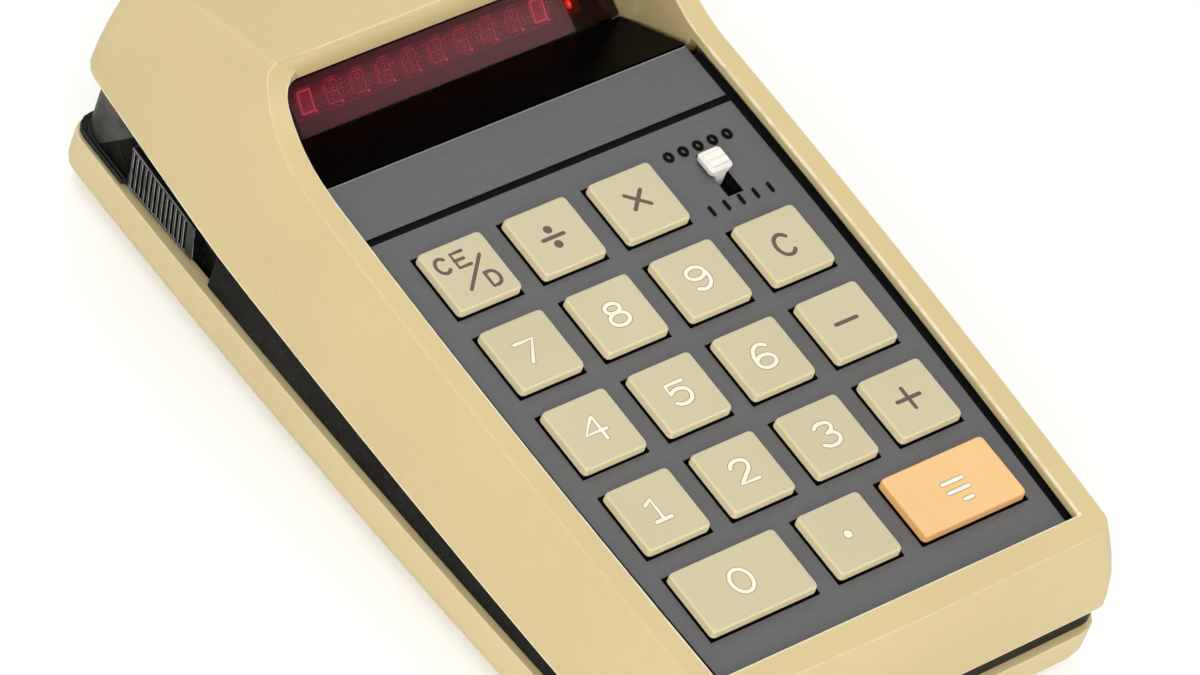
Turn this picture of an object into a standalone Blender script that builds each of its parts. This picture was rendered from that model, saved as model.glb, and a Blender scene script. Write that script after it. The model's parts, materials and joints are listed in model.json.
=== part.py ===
"""Hand-held calculator with a wedge-shaped case, a red lit display and eighteen sprung keys.

The upper half is modelled in the frame of the key plate: x to the right, y towards the display,
n out of the plate, all in millimetres, with y = n = 0 at the back edge of the first key row.
The lower half is modelled in the frame of the base. Both are moved into one frame at the end.
"""
import math

import bmesh
import bpy
from mathutils import Matrix, Vector

# Key field
KEY_PITCH = 13.85
KEY_HOLE = 0.768 * KEY_PITCH
KEY_COLUMNS = 4
KEY_ROWS = 5
WIDE_HOLE = KEY_HOLE + KEY_PITCH / 2
KEY_CLEARANCE = 0.22
KEY_RISE = 1.45
KEY_CHAMFER = 0.38
KEY_CORNER = 0.6
KEY_TOP_CORNER = 0.45
KEY_TAPER = 0.1
KEY_TRAVEL = 0.9
KEY_FLANGE = 0.75
KEY_FLANGE_THICK = 0.8
STEM_SIZE = 4.0
FIELD_WIDTH = (KEY_COLUMNS - 1) * KEY_PITCH + KEY_HOLE
FIELD_LENGTH = (KEY_ROWS - 1) * KEY_PITCH + KEY_HOLE

# Layers under the plate, measured down from its top face
GAP = 0.3
PLATE_THICK = 0.8
FRAME_THICK = 3.0
BOARD_THICK = 1.6
FRAME_TOP = -(PLATE_THICK + GAP)
FRAME_BOTTOM = FRAME_TOP - FRAME_THICK
SWITCH_BOARD_TOP = FRAME_BOTTOM - GAP
SWITCH_BOARD_BOTTOM = SWITCH_BOARD_TOP - BOARD_THICK

# Case, in plan
TILT = math.radians(5.0)
CASE_HALF_WIDTH = 2.775 * KEY_PITCH
CASE_FRONT = -5.64 * KEY_PITCH
CASE_REAR = 4.02 * KEY_PITCH
CASE_MIDDLE = (CASE_FRONT + CASE_REAR) / 2
SIDE_BOW = 1.6
END_BOW = 0.4
CORNER_FRONT = 2.4
CORNER_REAR = 4.2
SIDE_DRAFT = 0.186
FRONT_DRAFT = 0.16
REAR_DRAFT = 0.07
WALL = 2.0
WALL_BULGE = 0.55
BULGE_LEVEL = -0.45 * KEY_PITCH
BULGE_REACH = 0.70 * KEY_PITCH
RAIL_PINCH = 1.0
PINCH_START = -0.55 * KEY_PITCH
ROOF_AT_PLATE = 1.7
ROOF_AT_HOOD = 2.35

# Case, from the side
DRAFT_LEVEL = -1.20 * KEY_PITCH
RIM_FRONT = 0.105 * KEY_PITCH
RIM_BACK = 0.145 * KEY_PITCH
SWEEP_START = 0.90 * KEY_PITCH
HOOD_EDGE_Y = 2.00 * KEY_PITCH
HOOD_EDGE_N = 0.82 * KEY_PITCH
HUMP_SLOPE = 0.31
RIM_ROUND = 1.5
HOOD_ROUND = 0.6
FRONT_ROUND = 1.8
HUMP_ROUND = 3.6
EDGE_FRONT = -1.02 * KEY_PITCH
EDGE_KINK_Y = 1.50 * KEY_PITCH
EDGE_KINK = -1.205 * KEY_PITCH
EDGE_REAR = -1.135 * KEY_PITCH
LEDGE_AT_ZERO = -1.725 * KEY_PITCH
LEDGE_SLOPE = -0.084
BASE_DEPTH = 2.245 * KEY_PITCH
FOOT_RISE = 1.0

# Opening in the upper shell
OPENING_HALF = 2.235 * KEY_PITCH
OPENING_FRONT = -5.17 * KEY_PITCH
OPENING_BACK = 1.93 * KEY_PITCH
OPENING_CORNER = 2.8
PLATE_SIDE_GAP = 1.15
PLATE_BACK = 1.03 * KEY_PITCH
GROOVE_Y = 0.335 * KEY_PITCH
GROOVE_WIDTH = 0.75
GROOVE_DEPTH = 0.3

# Display
TROUGH_Y = 1.896 * KEY_PITCH
TROUGH_N = -0.513 * KEY_PITCH
FILTER_TILT = math.radians(25.0)
FILTER_LENGTH = 1.02 * KEY_PITCH
FILTER_THICK = 1.5
SURROUND_THICK = 1.5
RECESS_HALF = 2.17 * KEY_PITCH
CHEEK_THICK = 1.8
DIGIT_COUNT = 10
DIGIT_PITCH = 4.3
DIGIT_STRIP_HALF = 3.0
DIGIT_BOARD_MARGIN = 3.0

# Wedge-shaped middle frame
BAND_HALF_WIDTH = 2.65 * KEY_PITCH
BAND_FRONT = -5.605 * KEY_PITCH
BAND_REAR = 3.87 * KEY_PITCH
LIP_INSET = 1.7
LIP_HEIGHT = 2.0
LIP_ROUNDER = 1.8
LIP_FRONT_EXTRA = 0.9
MIDDLE_WALL = 1.6
COVER_WALL = 2.2
FLANGE_THICK = 0.9
COVER_FLOOR = 2.0
COVER_HALF_WIDTH = 2.715 * KEY_PITCH
COVER_FRONT = -5.68 * KEY_PITCH
COVER_REAR = 3.93 * KEY_PITCH
CUT_THROUGH = 10.0
FAR_FRONT = COVER_FRONT - CUT_THROUGH
FAR_REAR = CASE_REAR + CUT_THROUGH

# Screws through the cover into the upper shell, feet and charging jack
SCREW_X = 27.0
SCREW_Y = 3.30 * KEY_PITCH
SCREW_BORE = 1.25
SCREW_HEAD = 2.6
SCREW_SINK = 3.0
BOSS_RADIUS = 3.2
SCREW_HEAD_THICK = 1.5
SCREW_SEAT = 2.0
SCREW_BITE = 9.0
SCREW_SLOT = (0.7, 0.7)
FOOT_RADIUS = 4.0
JACK_X = 16.0
JACK_RADIUS = 2.95
JACK_BORE = 1.8
JACK_BORE_DEPTH = 11.0
JACK_LENGTH = 16.5
JACK_HALF = 4.2
JACK_PROUD = 0.4
JACK_HOLE_GAP = 0.35
JACK_SHOULDER = 2.5
JACK_SOCKET = 4.5

# Slide switches
SLIDER_LENGTH = 14.6
SLIDER_BLOCK = 1.7
SLIDER_TOP_MARGIN = 1.6
SLIDER_FOOT_MARGIN = 0.7
SLIDER_PROUD = 1.5
SLIDER_LEAN = 1.4
SLIDER_RIB_DEPTH = 0.8
SLIDER_TRAVEL = 4.0
SLIDER_RIBS = 13
SLIDER_NECK = (2.5, 1.0)
POWER_BODY_DEPTH = 6.0
POWER_BODY_HALF = 3.2
SLOT_REAR = 2.98 * KEY_PITCH
SLOT_FRONT = SLOT_REAR - SLIDER_LENGTH - SLIDER_TRAVEL - 2 * GAP
MODE_X = FIELD_WIDTH / 2 - KEY_HOLE / 2
MODE_Y = -0.50 * KEY_HOLE
MODE_TRAVEL = 3.0
MODE_SLOT_WIDTH = 2.55
MODE_SLOT_LENGTH = 7.4
MODE_KNOB = 4.1
MODE_KNOB_LENGTH = 3.9
MODE_KNOB_TOP = 1.6
MODE_BODY = 10.4

# Cells and boards, in the frame of the base
CELL_RADIUS = 7.1
CELL_GAP = 0.5
CELL_SPACING = 2 * CELL_RADIUS + CELL_GAP
CELL_END_GAP = 1.2
CELL_NIB = 1.0
TRAY_END = 2.6
TRAY_WALL = 1.2
TRAY_FLOOR = 0.8
TRAY_JACK_GAP = 1.3
TRAY_FRONT_GAP = 2.83
TRAY_REAR = BAND_REAR - JACK_LENGTH - TRAY_JACK_GAP
TRAY_FRONT = BAND_FRONT + LIP_INSET + LIP_FRONT_EXTRA + MIDDLE_WALL + TRAY_FRONT_GAP
CELL_ROW_FRONT = TRAY_FRONT + TRAY_END
CELL_LENGTH = (TRAY_REAR - TRAY_END - CELL_END_GAP - CELL_ROW_FRONT) / 2
MAIN_BOARD_LEVEL = 19.2
MAIN_BOARD_HALF = 30.5
MAIN_BOARD_FRONT = -40.0
MAIN_BOARD_REAR = 40.5
CHIP_SIZE = (36.0, 13.4, 3.6)
DRIVER_SIZE = (20.0, 6.6, 2.7)
DRIVER_X = 0.46 * MAIN_BOARD_HALF
COIL_RADIUS = 3.4
COIL_HEIGHT = 3.6
CAPACITOR_RADIUS = 2.3
CAPACITOR_LENGTH = 12.0

TAN = (0.70, 0.585, 0.305)
KEY_GREY = (0.56, 0.49, 0.33)
KEY_ORANGE = (0.93, 0.50, 0.19)
BLACK = (0.012, 0.012, 0.013)
PLATE_GREY = (0.11, 0.11, 0.115)
GLOSS_BLACK = (0.004, 0.004, 0.004)
FILTER_RED = (0.16, 0.006, 0.012)
IVORY = (0.80, 0.76, 0.62)
BOARD_GREEN = (0.10, 0.22, 0.09)
BOARD_TAN = (0.42, 0.30, 0.14)
CHIP_GREY = (0.03, 0.03, 0.032)
METAL = (0.62, 0.62, 0.60)
CELL_SLEEVE = (0.70, 0.68, 0.55)
RUBBER = (0.02, 0.02, 0.02)
LED_RED = (0.35, 0.02, 0.02)

MADE = []


def clear_scene():
    for obj in list(bpy.data.objects):
        bpy.data.objects.remove(obj, do_unlink=True)


def material(name, colour, roughness=0.5, metallic=0.0, coat=0.0, alpha=1.0):
    mat = bpy.data.materials.new(name)
    mat.use_nodes = True
    shader = mat.node_tree.nodes["Principled BSDF"]
    shader.inputs["Base Color"].default_value = (*colour, 1.0)
    shader.inputs["Roughness"].default_value = roughness
    shader.inputs["Metallic"].default_value = metallic
    shader.inputs["Coat Weight"].default_value = coat
    shader.inputs["Alpha"].default_value = alpha
    return mat


def new_object(name, bm):
    bmesh.ops.recalc_face_normals(bm, faces=bm.faces)
    mesh = bpy.data.meshes.new(name)
    bm.to_mesh(mesh)
    bm.free()
    obj = bpy.data.objects.new(name, mesh)
    bpy.context.scene.collection.objects.link(obj)
    return obj


def loft(name, rings):
    """Closed body through rings of points that all have the same count."""
    bm = bmesh.new()
    rows = []
    for ring in rings:
        rows.append([bm.verts.new(point) for point in ring])
    count = len(rows[0])
    for lower, upper in zip(rows, rows[1:]):
        for i in range(count):
            j = (i + 1) % count
            bm.faces.new((lower[i], lower[j], upper[j], upper[i]))
    bm.faces.new(list(reversed(rows[0])))
    bm.faces.new(rows[-1])
    return new_object(name, bm)


def at_level(outline, level):
    return [(x, y, level) for x, y in outline]


def box(name, x0, x1, y0, y1, z0, z1):
    outline = [(x0, y0), (x1, y0), (x1, y1), (x0, y1)]
    return loft(name, [at_level(outline, z0), at_level(outline, z1)])


def side_slab(name, profile, x0, x1):
    """Polygon given as (y, n) pairs, drawn out along x."""
    return loft(name, [[(x0, y, n) for y, n in profile], [(x1, y, n) for y, n in profile]])


def cylinder(name, centre, axis, radius, length, steps=24, bore=0.0, bore_depth=0.0):
    """Round bar along x, y or z, with an optional blind bore from its far end."""
    turns = [2 * math.pi * i / steps for i in range(steps)]

    def ring(r, along):
        points = []
        for a in turns:
            u, v = r * math.cos(a), r * math.sin(a)
            local = {"x": (along, u, v), "y": (v, along, u), "z": (u, v, along)}[axis]
            points.append(tuple(c + d for c, d in zip(centre, local)))
        return points

    rings = [ring(radius, 0.0), ring(radius, length)]
    if bore:
        rings += [ring(bore, length), ring(bore, length - bore_depth)]
    return loft(name, rings)


def boolean(target, cutter, operation):
    cutter.hide_render = True
    cutter.display_type = "WIRE"
    mod = target.modifiers.new(operation.title(), "BOOLEAN")
    mod.operation = operation
    mod.solver = "EXACT"
    mod.object = cutter
    apply_modifiers(target)
    bpy.data.objects.remove(cutter, do_unlink=True)
    return target


def cut(target, cutter):
    return boolean(target, cutter, "DIFFERENCE")


def common(target, cutter):
    return boolean(target, cutter, "INTERSECT")


def join(target, cutter):
    return boolean(target, cutter, "UNION")


def apply_modifiers(obj):
    graph = bpy.context.evaluated_depsgraph_get()
    evaluated = obj.evaluated_get(graph)
    mesh = bpy.data.meshes.new_from_object(evaluated)
    obj.modifiers.clear()
    old = obj.data
    obj.data = mesh
    bpy.data.meshes.remove(old)


def tidy(obj, distance=0.004):
    bm = bmesh.new()
    bm.from_mesh(obj.data)
    bmesh.ops.remove_doubles(bm, verts=bm.verts, dist=distance)
    bmesh.ops.dissolve_degenerate(bm, edges=bm.edges, dist=distance)
    bmesh.ops.recalc_face_normals(bm, faces=bm.faces)
    bm.to_mesh(obj.data)
    bm.free()


def bevel_marked(obj, weight_of, width, segments):
    """Round the edges for which weight_of(middle, normal pair, angle) gives a weight."""
    bm = bmesh.new()
    bm.from_mesh(obj.data)
    layer = bm.edges.layers.float.get("bevel_weight_edge")
    if layer is None:
        layer = bm.edges.layers.float.new("bevel_weight_edge")
    for edge in bm.edges:
        if len(edge.link_faces) != 2:
            continue
        first, second = edge.link_faces
        middle = (edge.verts[0].co + edge.verts[1].co) / 2
        edge[layer] = weight_of(middle, first.normal, second.normal, edge.calc_face_angle(0.0))
    bm.to_mesh(obj.data)
    bm.free()
    mod = obj.modifiers.new("Edge rounding", "BEVEL")
    mod.limit_method = "WEIGHT"
    mod.width = width
    mod.segments = segments
    mod.use_clamp_overlap = True
    apply_modifiers(obj)
    return obj


def bow_at(y):
    half_length = (CASE_REAR - CASE_FRONT) / 2
    return SIDE_BOW * ((y - CASE_MIDDLE) / half_length) ** 2


def pinch_at(y):
    """Share of the rail's pinch at y: all of it beside the keys, none beside the hood."""
    t = (y - SWEEP_START) / (HOOD_EDGE_Y - SWEEP_START)
    t = min(1.0, max(0.0, t))
    return 1.0 - t * t * (3.0 - 2.0 * t)


def case_outline(half, front, rear, corner_front, corner_rear, pinch=0.0, side_steps=10, corner_steps=4):
    """Barrel-shaped plan outline, counter-clockwise from the front left."""
    def side(y):
        return half - bow_at(y) - pinch * pinch_at(y)

    right = []
    start = front + corner_front
    end = rear - corner_rear
    for i in range(corner_steps + 1):
        a = math.radians(-90 + 90 * i / corner_steps)
        cx = side(start) - corner_front
        right.append((cx + corner_front * math.cos(a), start + corner_front * math.sin(a)))
    for i in range(1, side_steps):
        y = start + (end - start) * i / side_steps
        right.append((side(y), y))
    for i in range(corner_steps + 1):
        a = math.radians(90 * i / corner_steps)
        cx = side(end) - corner_rear
        right.append((cx + corner_rear * math.cos(a), end + corner_rear * math.sin(a)))
    left = [(-x, y) for x, y in reversed(right)]
    return [(0.0, front - END_BOW)] + right + [(0.0, rear + END_BOW)] + left


def wall_bulge(level):
    """How far the walls stand out of the straight draft at one level."""
    t = (level - BULGE_LEVEL) / BULGE_REACH
    return WALL_BULGE * max(0.0, 1.0 - t * t)


def shell_ring(level, inset):
    """Outline of the drafted upper shell at one level."""
    rise = level - DRAFT_LEVEL
    bulge = wall_bulge(level)
    half = CASE_HALF_WIDTH - SIDE_DRAFT * rise + bulge - inset
    front = CASE_FRONT + FRONT_DRAFT * rise - bulge + inset
    rear = CASE_REAR - REAR_DRAFT * rise + bulge - inset
    shrink = 0.6 * inset
    height = (level - PINCH_START) / (RIM_FRONT - PINCH_START)
    pinch = RAIL_PINCH * min(1.0, max(0.0, height))
    outline = case_outline(half, front, rear, CORNER_FRONT - shrink, CORNER_REAR - shrink, pinch)
    return at_level(outline, level)


def sweep_points(steps=9):
    """Rim line that rises in an arc from the key plate to the edge of the hood."""
    run = HOOD_EDGE_Y - SWEEP_START
    rise = HOOD_EDGE_N - RIM_BACK
    radius = (run * run + rise * rise) / (2 * rise)
    total = math.asin(run / radius)
    points = []
    for i in range(steps + 1):
        a = total * i / steps
        points.append((SWEEP_START + radius * math.sin(a), RIM_BACK + radius * (1 - math.cos(a))))
    return points


def shell_edge(y):
    """Height of the upper shell's lower edge."""
    if y < EDGE_KINK_Y:
        t = (y - CASE_FRONT) / (EDGE_KINK_Y - CASE_FRONT)
        return EDGE_FRONT + t * (EDGE_KINK - EDGE_FRONT)
    t = (y - EDGE_KINK_Y) / (CASE_REAR - EDGE_KINK_Y)
    return EDGE_KINK + t * (EDGE_REAR - EDGE_KINK)


def ledge(y):
    """Height of the bottom cover's ledge."""
    return LEDGE_AT_ZERO + LEDGE_SLOPE * y


def base_level(y):
    """Underside of the bottom cover, level with the table."""
    return (-BASE_DEPTH + -math.sin(TILT) * y) / math.cos(TILT)


def roof_profile(plate_drop, hood_drop):
    """Side view of the shell's top face, front to rear, lowered by a drop that grows to the hood."""
    points = [(FAR_FRONT, RIM_FRONT - plate_drop)]
    for y, n in sweep_points():
        t = (y - SWEEP_START) / (HOOD_EDGE_Y - SWEEP_START)
        points.append((y, n - plate_drop - t * (hood_drop - plate_drop)))
    hump_fall = HUMP_SLOPE * (FAR_REAR - HOOD_EDGE_Y)
    points.append((FAR_REAR, HOOD_EDGE_N - hump_fall - hood_drop))
    return points


def between(name, lower, upper):
    """Slab wider than the case between two side-view lines, each front to rear."""
    reach = CASE_HALF_WIDTH + 8.0
    return side_slab(name, lower + list(reversed(upper)), -reach, reach)


def edge_line(offset):
    ys = (FAR_FRONT, EDGE_KINK_Y, FAR_REAR)
    return [(y, shell_edge(y) + offset) for y in ys]


def ledge_line(offset):
    return [(y, ledge(y) + offset) for y in (FAR_FRONT, FAR_REAR)]


def opening_outline(side_gap, front_gap, back, corner_back, side_steps=8):
    """Bowed outline of the key plate's opening, with square front corners."""
    front = OPENING_FRONT + front_gap
    half = OPENING_HALF - side_gap
    end = back - corner_back
    right = []
    for i in range(side_steps + 1):
        y = front + (end - front) * i / side_steps
        right.append((half - bow_at(y), y))
    if corner_back > 0:
        for i in range(1, 6):
            a = math.radians(18 * i)
            cx = half - bow_at(end) - corner_back
            right.append((cx + corner_back * math.cos(a), end + corner_back * math.sin(a)))
    return right + [(-x, y) for x, y in reversed(right)]


def make_top_housing():
    low = DRAFT_LEVEL - 6.0
    high = HOOD_EDGE_N + 3.0
    steps = [BULGE_LEVEL + BULGE_REACH * t for t in (-1.0, -0.6, -0.2, 0.2, 0.45, 1.0)]
    levels = [low] + steps + [high]
    shell = loft("top_housing", [shell_ring(level, 0.0) for level in levels])
    common(shell, between("roof", edge_line(0.0), roof_profile(0.0, 0.0)))

    def soften(middle, first, second, angle):
        if angle < math.radians(30) or min(first.z, second.z) < -0.3:
            return 0.0
        if middle.y > HOOD_EDGE_Y + 0.5:
            return 1.0
        across = abs(first.x) < 0.5 and abs(second.x) < 0.5
        if across and middle.y > SWEEP_START:
            return HOOD_ROUND / HUMP_ROUND
        if across and middle.y < 0.0:
            return FRONT_ROUND / HUMP_ROUND
        return RIM_ROUND / HUMP_ROUND

    bevel_marked(shell, soften, HUMP_ROUND, 4)
    inside = loft("inside", [shell_ring(low - 5.0, WALL), shell_ring(high, WALL)])
    common(inside, between("under_roof", [(FAR_FRONT, low - 4.0), (FAR_REAR, low - 4.0)],
                           roof_profile(ROOF_AT_PLATE, ROOF_AT_HOOD)))
    cut(shell, inside)
    for side in (-1, 1):
        join(shell, cheek(side))
        join(shell, screw_boss(side))
    opening = opening_outline(0.0, 0.0, OPENING_BACK, OPENING_CORNER)
    cut(shell, loft("opening", [at_level(opening, low), at_level(opening, high + 5.0)]))
    for side in (-1, 1):
        cut(shell, boss_bore(side))
    return shell


def cheek(side):
    """Inner side wall of the display recess, hanging from the roof."""
    rear = TROUGH_Y + FILTER_LENGTH + 1.0
    middle = (ROOF_AT_PLATE * 0.5, ROOF_AT_HOOD * 0.5)
    roof = [(y, n) for y, n in roof_profile(*middle) if SWEEP_START < y < rear]
    hump_end = HOOD_EDGE_N - HUMP_SLOPE * (rear - HOOD_EDGE_Y) - middle[1]
    foot = TROUGH_N - SURROUND_THICK - 1.0
    start = PLATE_BACK + 0.6
    roof = [(y, n) for y, n in roof if y > start + 0.5]
    start_roof = roof[0][1]
    profile = [(start, -2.0 * SURROUND_THICK), (TROUGH_Y, foot), (rear, foot)]
    profile += [(rear, hump_end)] + list(reversed(roof)) + [(start, start_roof - 0.8)]
    inner = RECESS_HALF * side
    outer = (OPENING_HALF + CHEEK_THICK) * side
    return side_slab("cheek", profile, min(inner, outer), max(inner, outer))


def screw_boss(side):
    bottom = ledge(SCREW_Y) + 3.0
    top = HOOD_EDGE_N - HUMP_SLOPE * (SCREW_Y + BOSS_RADIUS - HOOD_EDGE_Y) - ROOF_AT_HOOD * 0.6
    return cylinder("boss", (SCREW_X * side, SCREW_Y, bottom), "z", BOSS_RADIUS, top - bottom, 16)


def boss_bore(side):
    bottom = ledge(SCREW_Y) + 2.0
    return cylinder("bore", (SCREW_X * side, SCREW_Y, bottom), "z", SCREW_BORE, 12.0, 12)


def make_middle_housing():
    low = DRAFT_LEVEL - 18.0
    high = DRAFT_LEVEL + 12.0

    def ring(inset, extra=0.0, rounder=0.0):
        front = BAND_FRONT + inset + (LIP_FRONT_EXTRA if inset else 0.0)
        outline = case_outline(BAND_HALF_WIDTH - inset, front, BAND_REAR - inset,
                               CORNER_FRONT - 0.4 * inset + rounder, CORNER_REAR - 0.6 * inset)
        return [at_level(outline, low - extra), at_level(outline, high + extra)]

    band = loft("middle_housing", ring(0.0))
    common(band, between("band", ledge_line(GAP), edge_line(-GAP)))
    lips = loft("lips", ring(LIP_INSET, 0.0, LIP_ROUNDER))
    common(lips, between("lip", ledge_line(-LIP_HEIGHT), edge_line(LIP_HEIGHT)))
    join(band, lips)
    flange_outline = case_outline(COVER_HALF_WIDTH - 0.3, COVER_FRONT + 0.3, COVER_REAR - 0.3,
                                  CORNER_FRONT, CORNER_REAR - 1.1)
    flange = loft("flange", [at_level(flange_outline, low), at_level(flange_outline, high)])
    start = SLOT_REAR + 0.6
    ends = (start, FAR_REAR)
    low_side = [(y, ledge(y) + GAP + 0.1) for y in ends]
    high_side = [(y, ledge(y) + GAP + FLANGE_THICK) for y in ends]
    common(flange, between("flange_cut", low_side, high_side))
    join(band, flange)
    cut(band, loft("hollow", ring(LIP_INSET + MIDDLE_WALL, 5.0)))
    wall = slot_wall()
    cut(band, box("slot", -wall - 2.0, -wall + LIP_INSET, SLOT_FRONT, SLOT_REAR, low - 8.0, high + 8.0))
    neck = slider_level()
    cut(band, box("neck_slot", -wall - 2.0, -wall + 9.0, SLOT_FRONT + 3.0, SLOT_REAR - 3.0,
                  neck - 1.4, neck + 1.4))
    cut(band, cylinder("jack_hole", (JACK_X, BAND_REAR - CUT_THROUGH, jack_level()), "y",
                       JACK_RADIUS + JACK_HOLE_GAP, 2 * CUT_THROUGH, 24))
    return band


def slot_wall():
    """Distance from the middle plane to the black band's face at the power switch."""
    return BAND_HALF_WIDTH - bow_at(SLOT_REAR)


def slider_level():
    """Middle height of the black band at the power switch."""
    y = (SLOT_FRONT + SLOT_REAR) / 2
    return (ledge(y) + shell_edge(y)) / 2


def jack_level():
    return (ledge(CASE_REAR) + shell_edge(CASE_REAR)) / 2


def cover_ring(level, inset):
    outline = case_outline(COVER_HALF_WIDTH - inset, COVER_FRONT + inset, COVER_REAR - inset,
                           CORNER_FRONT + 1.6 - 0.4 * inset, CORNER_REAR - 1.0 - 0.4 * inset)
    return at_level(outline, level)


def base_line(offset):
    return [(y, base_level(y) + offset) for y in (FAR_FRONT, FAR_REAR)]


def make_bottom_cover():
    low = base_level(FAR_REAR) - 5.0
    high = DRAFT_LEVEL + 10.0
    cover = loft("bottom_cover", [cover_ring(low, 0.0), cover_ring(high, 0.0)])
    common(cover, between("cover_side", base_line(0.0), ledge_line(0.0)))

    def soften(middle, first, second, angle):
        lowest = min(first.z, second.z)
        return 1.0 if angle > math.radians(40) and lowest < -0.9 else 0.0

    bevel_marked(cover, soften, 2.6, 3)
    inside = loft("cover_inside", [cover_ring(low - 3.0, COVER_WALL), cover_ring(high + 3.0, COVER_WALL)])
    common(inside, between("above_floor", base_line(COVER_FLOOR), [(FAR_FRONT, high), (FAR_REAR, high)]))
    cut(cover, inside)
    for x, y in foot_places():
        centre = (x, y, base_level(y) - 4.0)
        cut(cover, cylinder("foot_pocket", centre, "z", FOOT_RADIUS + GAP, 4.0 + 1.0, 24))
    for side in (-1, 1):
        post = cylinder("post", (SCREW_X * side, SCREW_Y, base_level(SCREW_Y) + 1.0), "z",
                        BOSS_RADIUS + 1.0, ledge(SCREW_Y) + 2.5 - base_level(SCREW_Y) - 1.0, 16)
        join(cover, post)
        hole = cylinder("hole", (SCREW_X * side, SCREW_Y, base_level(SCREW_Y) - 3.0), "z",
                        SCREW_BORE + 0.4, 2 * CUT_THROUGH, 16)
        cut(cover, hole)
        sink = cylinder("sink", (SCREW_X * side, SCREW_Y, base_level(SCREW_Y) - 3.0), "z",
                        SCREW_HEAD + 0.35, 3.0 + SCREW_SINK, 16)
        cut(cover, sink)
    return cover


def foot_places():
    front = COVER_FRONT + 12.0
    rear = COVER_REAR - 20.0
    reach = CASE_HALF_WIDTH - 11.0
    return [(-reach, front), (reach, front), (-reach, rear), (reach, rear)]


def key_name(row, column):
    names = {
        (0, 0): "key_clear_entry", (0, 1): "key_divide", (0, 2): "key_times",
        (1, 0): "key_7", (1, 1): "key_8", (1, 2): "key_9", (1, 3): "key_clear",
        (2, 0): "key_4", (2, 1): "key_5", (2, 2): "key_6", (2, 3): "key_minus",
        (3, 0): "key_1", (3, 1): "key_2", (3, 2): "key_3", (3, 3): "key_plus",
        (4, 0): "key_0", (4, 1): "key_point", (4, 2): "key_equals",
    }
    return names[(row, column)]


def key_layout():
    """Name, centre and hole width of every key."""
    left = -FIELD_WIDTH / 2
    places = []
    for row in range(KEY_ROWS):
        y = -row * KEY_PITCH - KEY_HOLE / 2
        if row == KEY_ROWS - 1:
            widths = (WIDE_HOLE, KEY_HOLE, WIDE_HOLE)
            x = left
            for column, width in enumerate(widths):
                places.append((key_name(row, column), x + width / 2, y, width))
                x += width + KEY_PITCH - KEY_HOLE
            continue
        for column in range(KEY_COLUMNS):
            if row == 0 and column == KEY_COLUMNS - 1:
                continue
            x = left + column * KEY_PITCH + KEY_HOLE / 2
            places.append((key_name(row, column), x, y, KEY_HOLE))
    return places


def rounded_rectangle(cx, cy, width, depth, radius, steps=2):
    outline = []
    for quadrant in range(4):
        sx = 1 if quadrant in (0, 1) else -1
        sy = 1 if quadrant in (1, 2) else -1
        mx = cx + sx * (width / 2 - radius)
        my = cy + sy * (depth / 2 - radius)
        for i in range(steps + 1):
            a = math.radians(-90 + 90 * quadrant + 90 * i / steps)
            outline.append((mx + radius * math.cos(a), my + radius * math.sin(a)))
    return outline


def make_key(name, x, y, width):
    """Stem, retaining flange and cap, from the bottom up, as one stack of rounded outlines."""
    cap_w = width - 2 * KEY_CLEARANCE
    cap_d = KEY_HOLE - 2 * KEY_CLEARANCE
    flange_top = FRAME_TOP - 0.1
    flange_bottom = flange_top - KEY_FLANGE_THICK
    stem_bottom = SWITCH_BOARD_TOP + KEY_TRAVEL + 0.2
    levels = [
        (stem_bottom, STEM_SIZE, STEM_SIZE, 0.6),
        (flange_bottom, STEM_SIZE, STEM_SIZE, 0.6),
        (flange_bottom, cap_w + 2 * KEY_FLANGE, cap_d + 2 * KEY_FLANGE, 0.6),
        (flange_top, cap_w + 2 * KEY_FLANGE, cap_d + 2 * KEY_FLANGE, 0.6),
        (flange_top, cap_w, cap_d, KEY_CORNER),
    ]
    for drop, shrink, corner in ((1.0, 0.0, KEY_CORNER), (0.3, 0.6, KEY_CORNER), (0.0, 2.0, KEY_TOP_CORNER)):
        inset = KEY_TAPER + shrink * KEY_CHAMFER
        levels.append((KEY_RISE - drop * KEY_CHAMFER, cap_w - inset, cap_d - inset, corner))
    rings = [at_level(rounded_rectangle(x, y, w, d, r), n) for n, w, d, r in levels]
    return loft(name, rings)


def mode_slot(name, grow, low, high):
    half_w = MODE_SLOT_WIDTH / 2 + grow
    half_l = MODE_SLOT_LENGTH / 2 + grow
    return box(name, MODE_X - half_w, MODE_X + half_w, MODE_Y - half_l, MODE_Y + half_l, low, high)


def make_keyboard_plate():
    outline = opening_outline(PLATE_SIDE_GAP, 0.4, PLATE_BACK, 0.0)
    plate = loft("keyboard_plate", [at_level(outline, -PLATE_THICK), at_level(outline, 0.0)])
    for name, x, y, width in key_layout():
        cut(plate, box("hole", x - width / 2, x + width / 2, y - KEY_HOLE / 2, y + KEY_HOLE / 2, -3.0, 2.0))
    cut(plate, mode_slot("mode_slot", 0.0, -3.0, 2.0))
    cut(plate, box("groove", -CASE_HALF_WIDTH, CASE_HALF_WIDTH, GROOVE_Y - GROOVE_WIDTH / 2,
                   GROOVE_Y + GROOVE_WIDTH / 2, -GROOVE_DEPTH, 2.0))
    return plate


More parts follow.
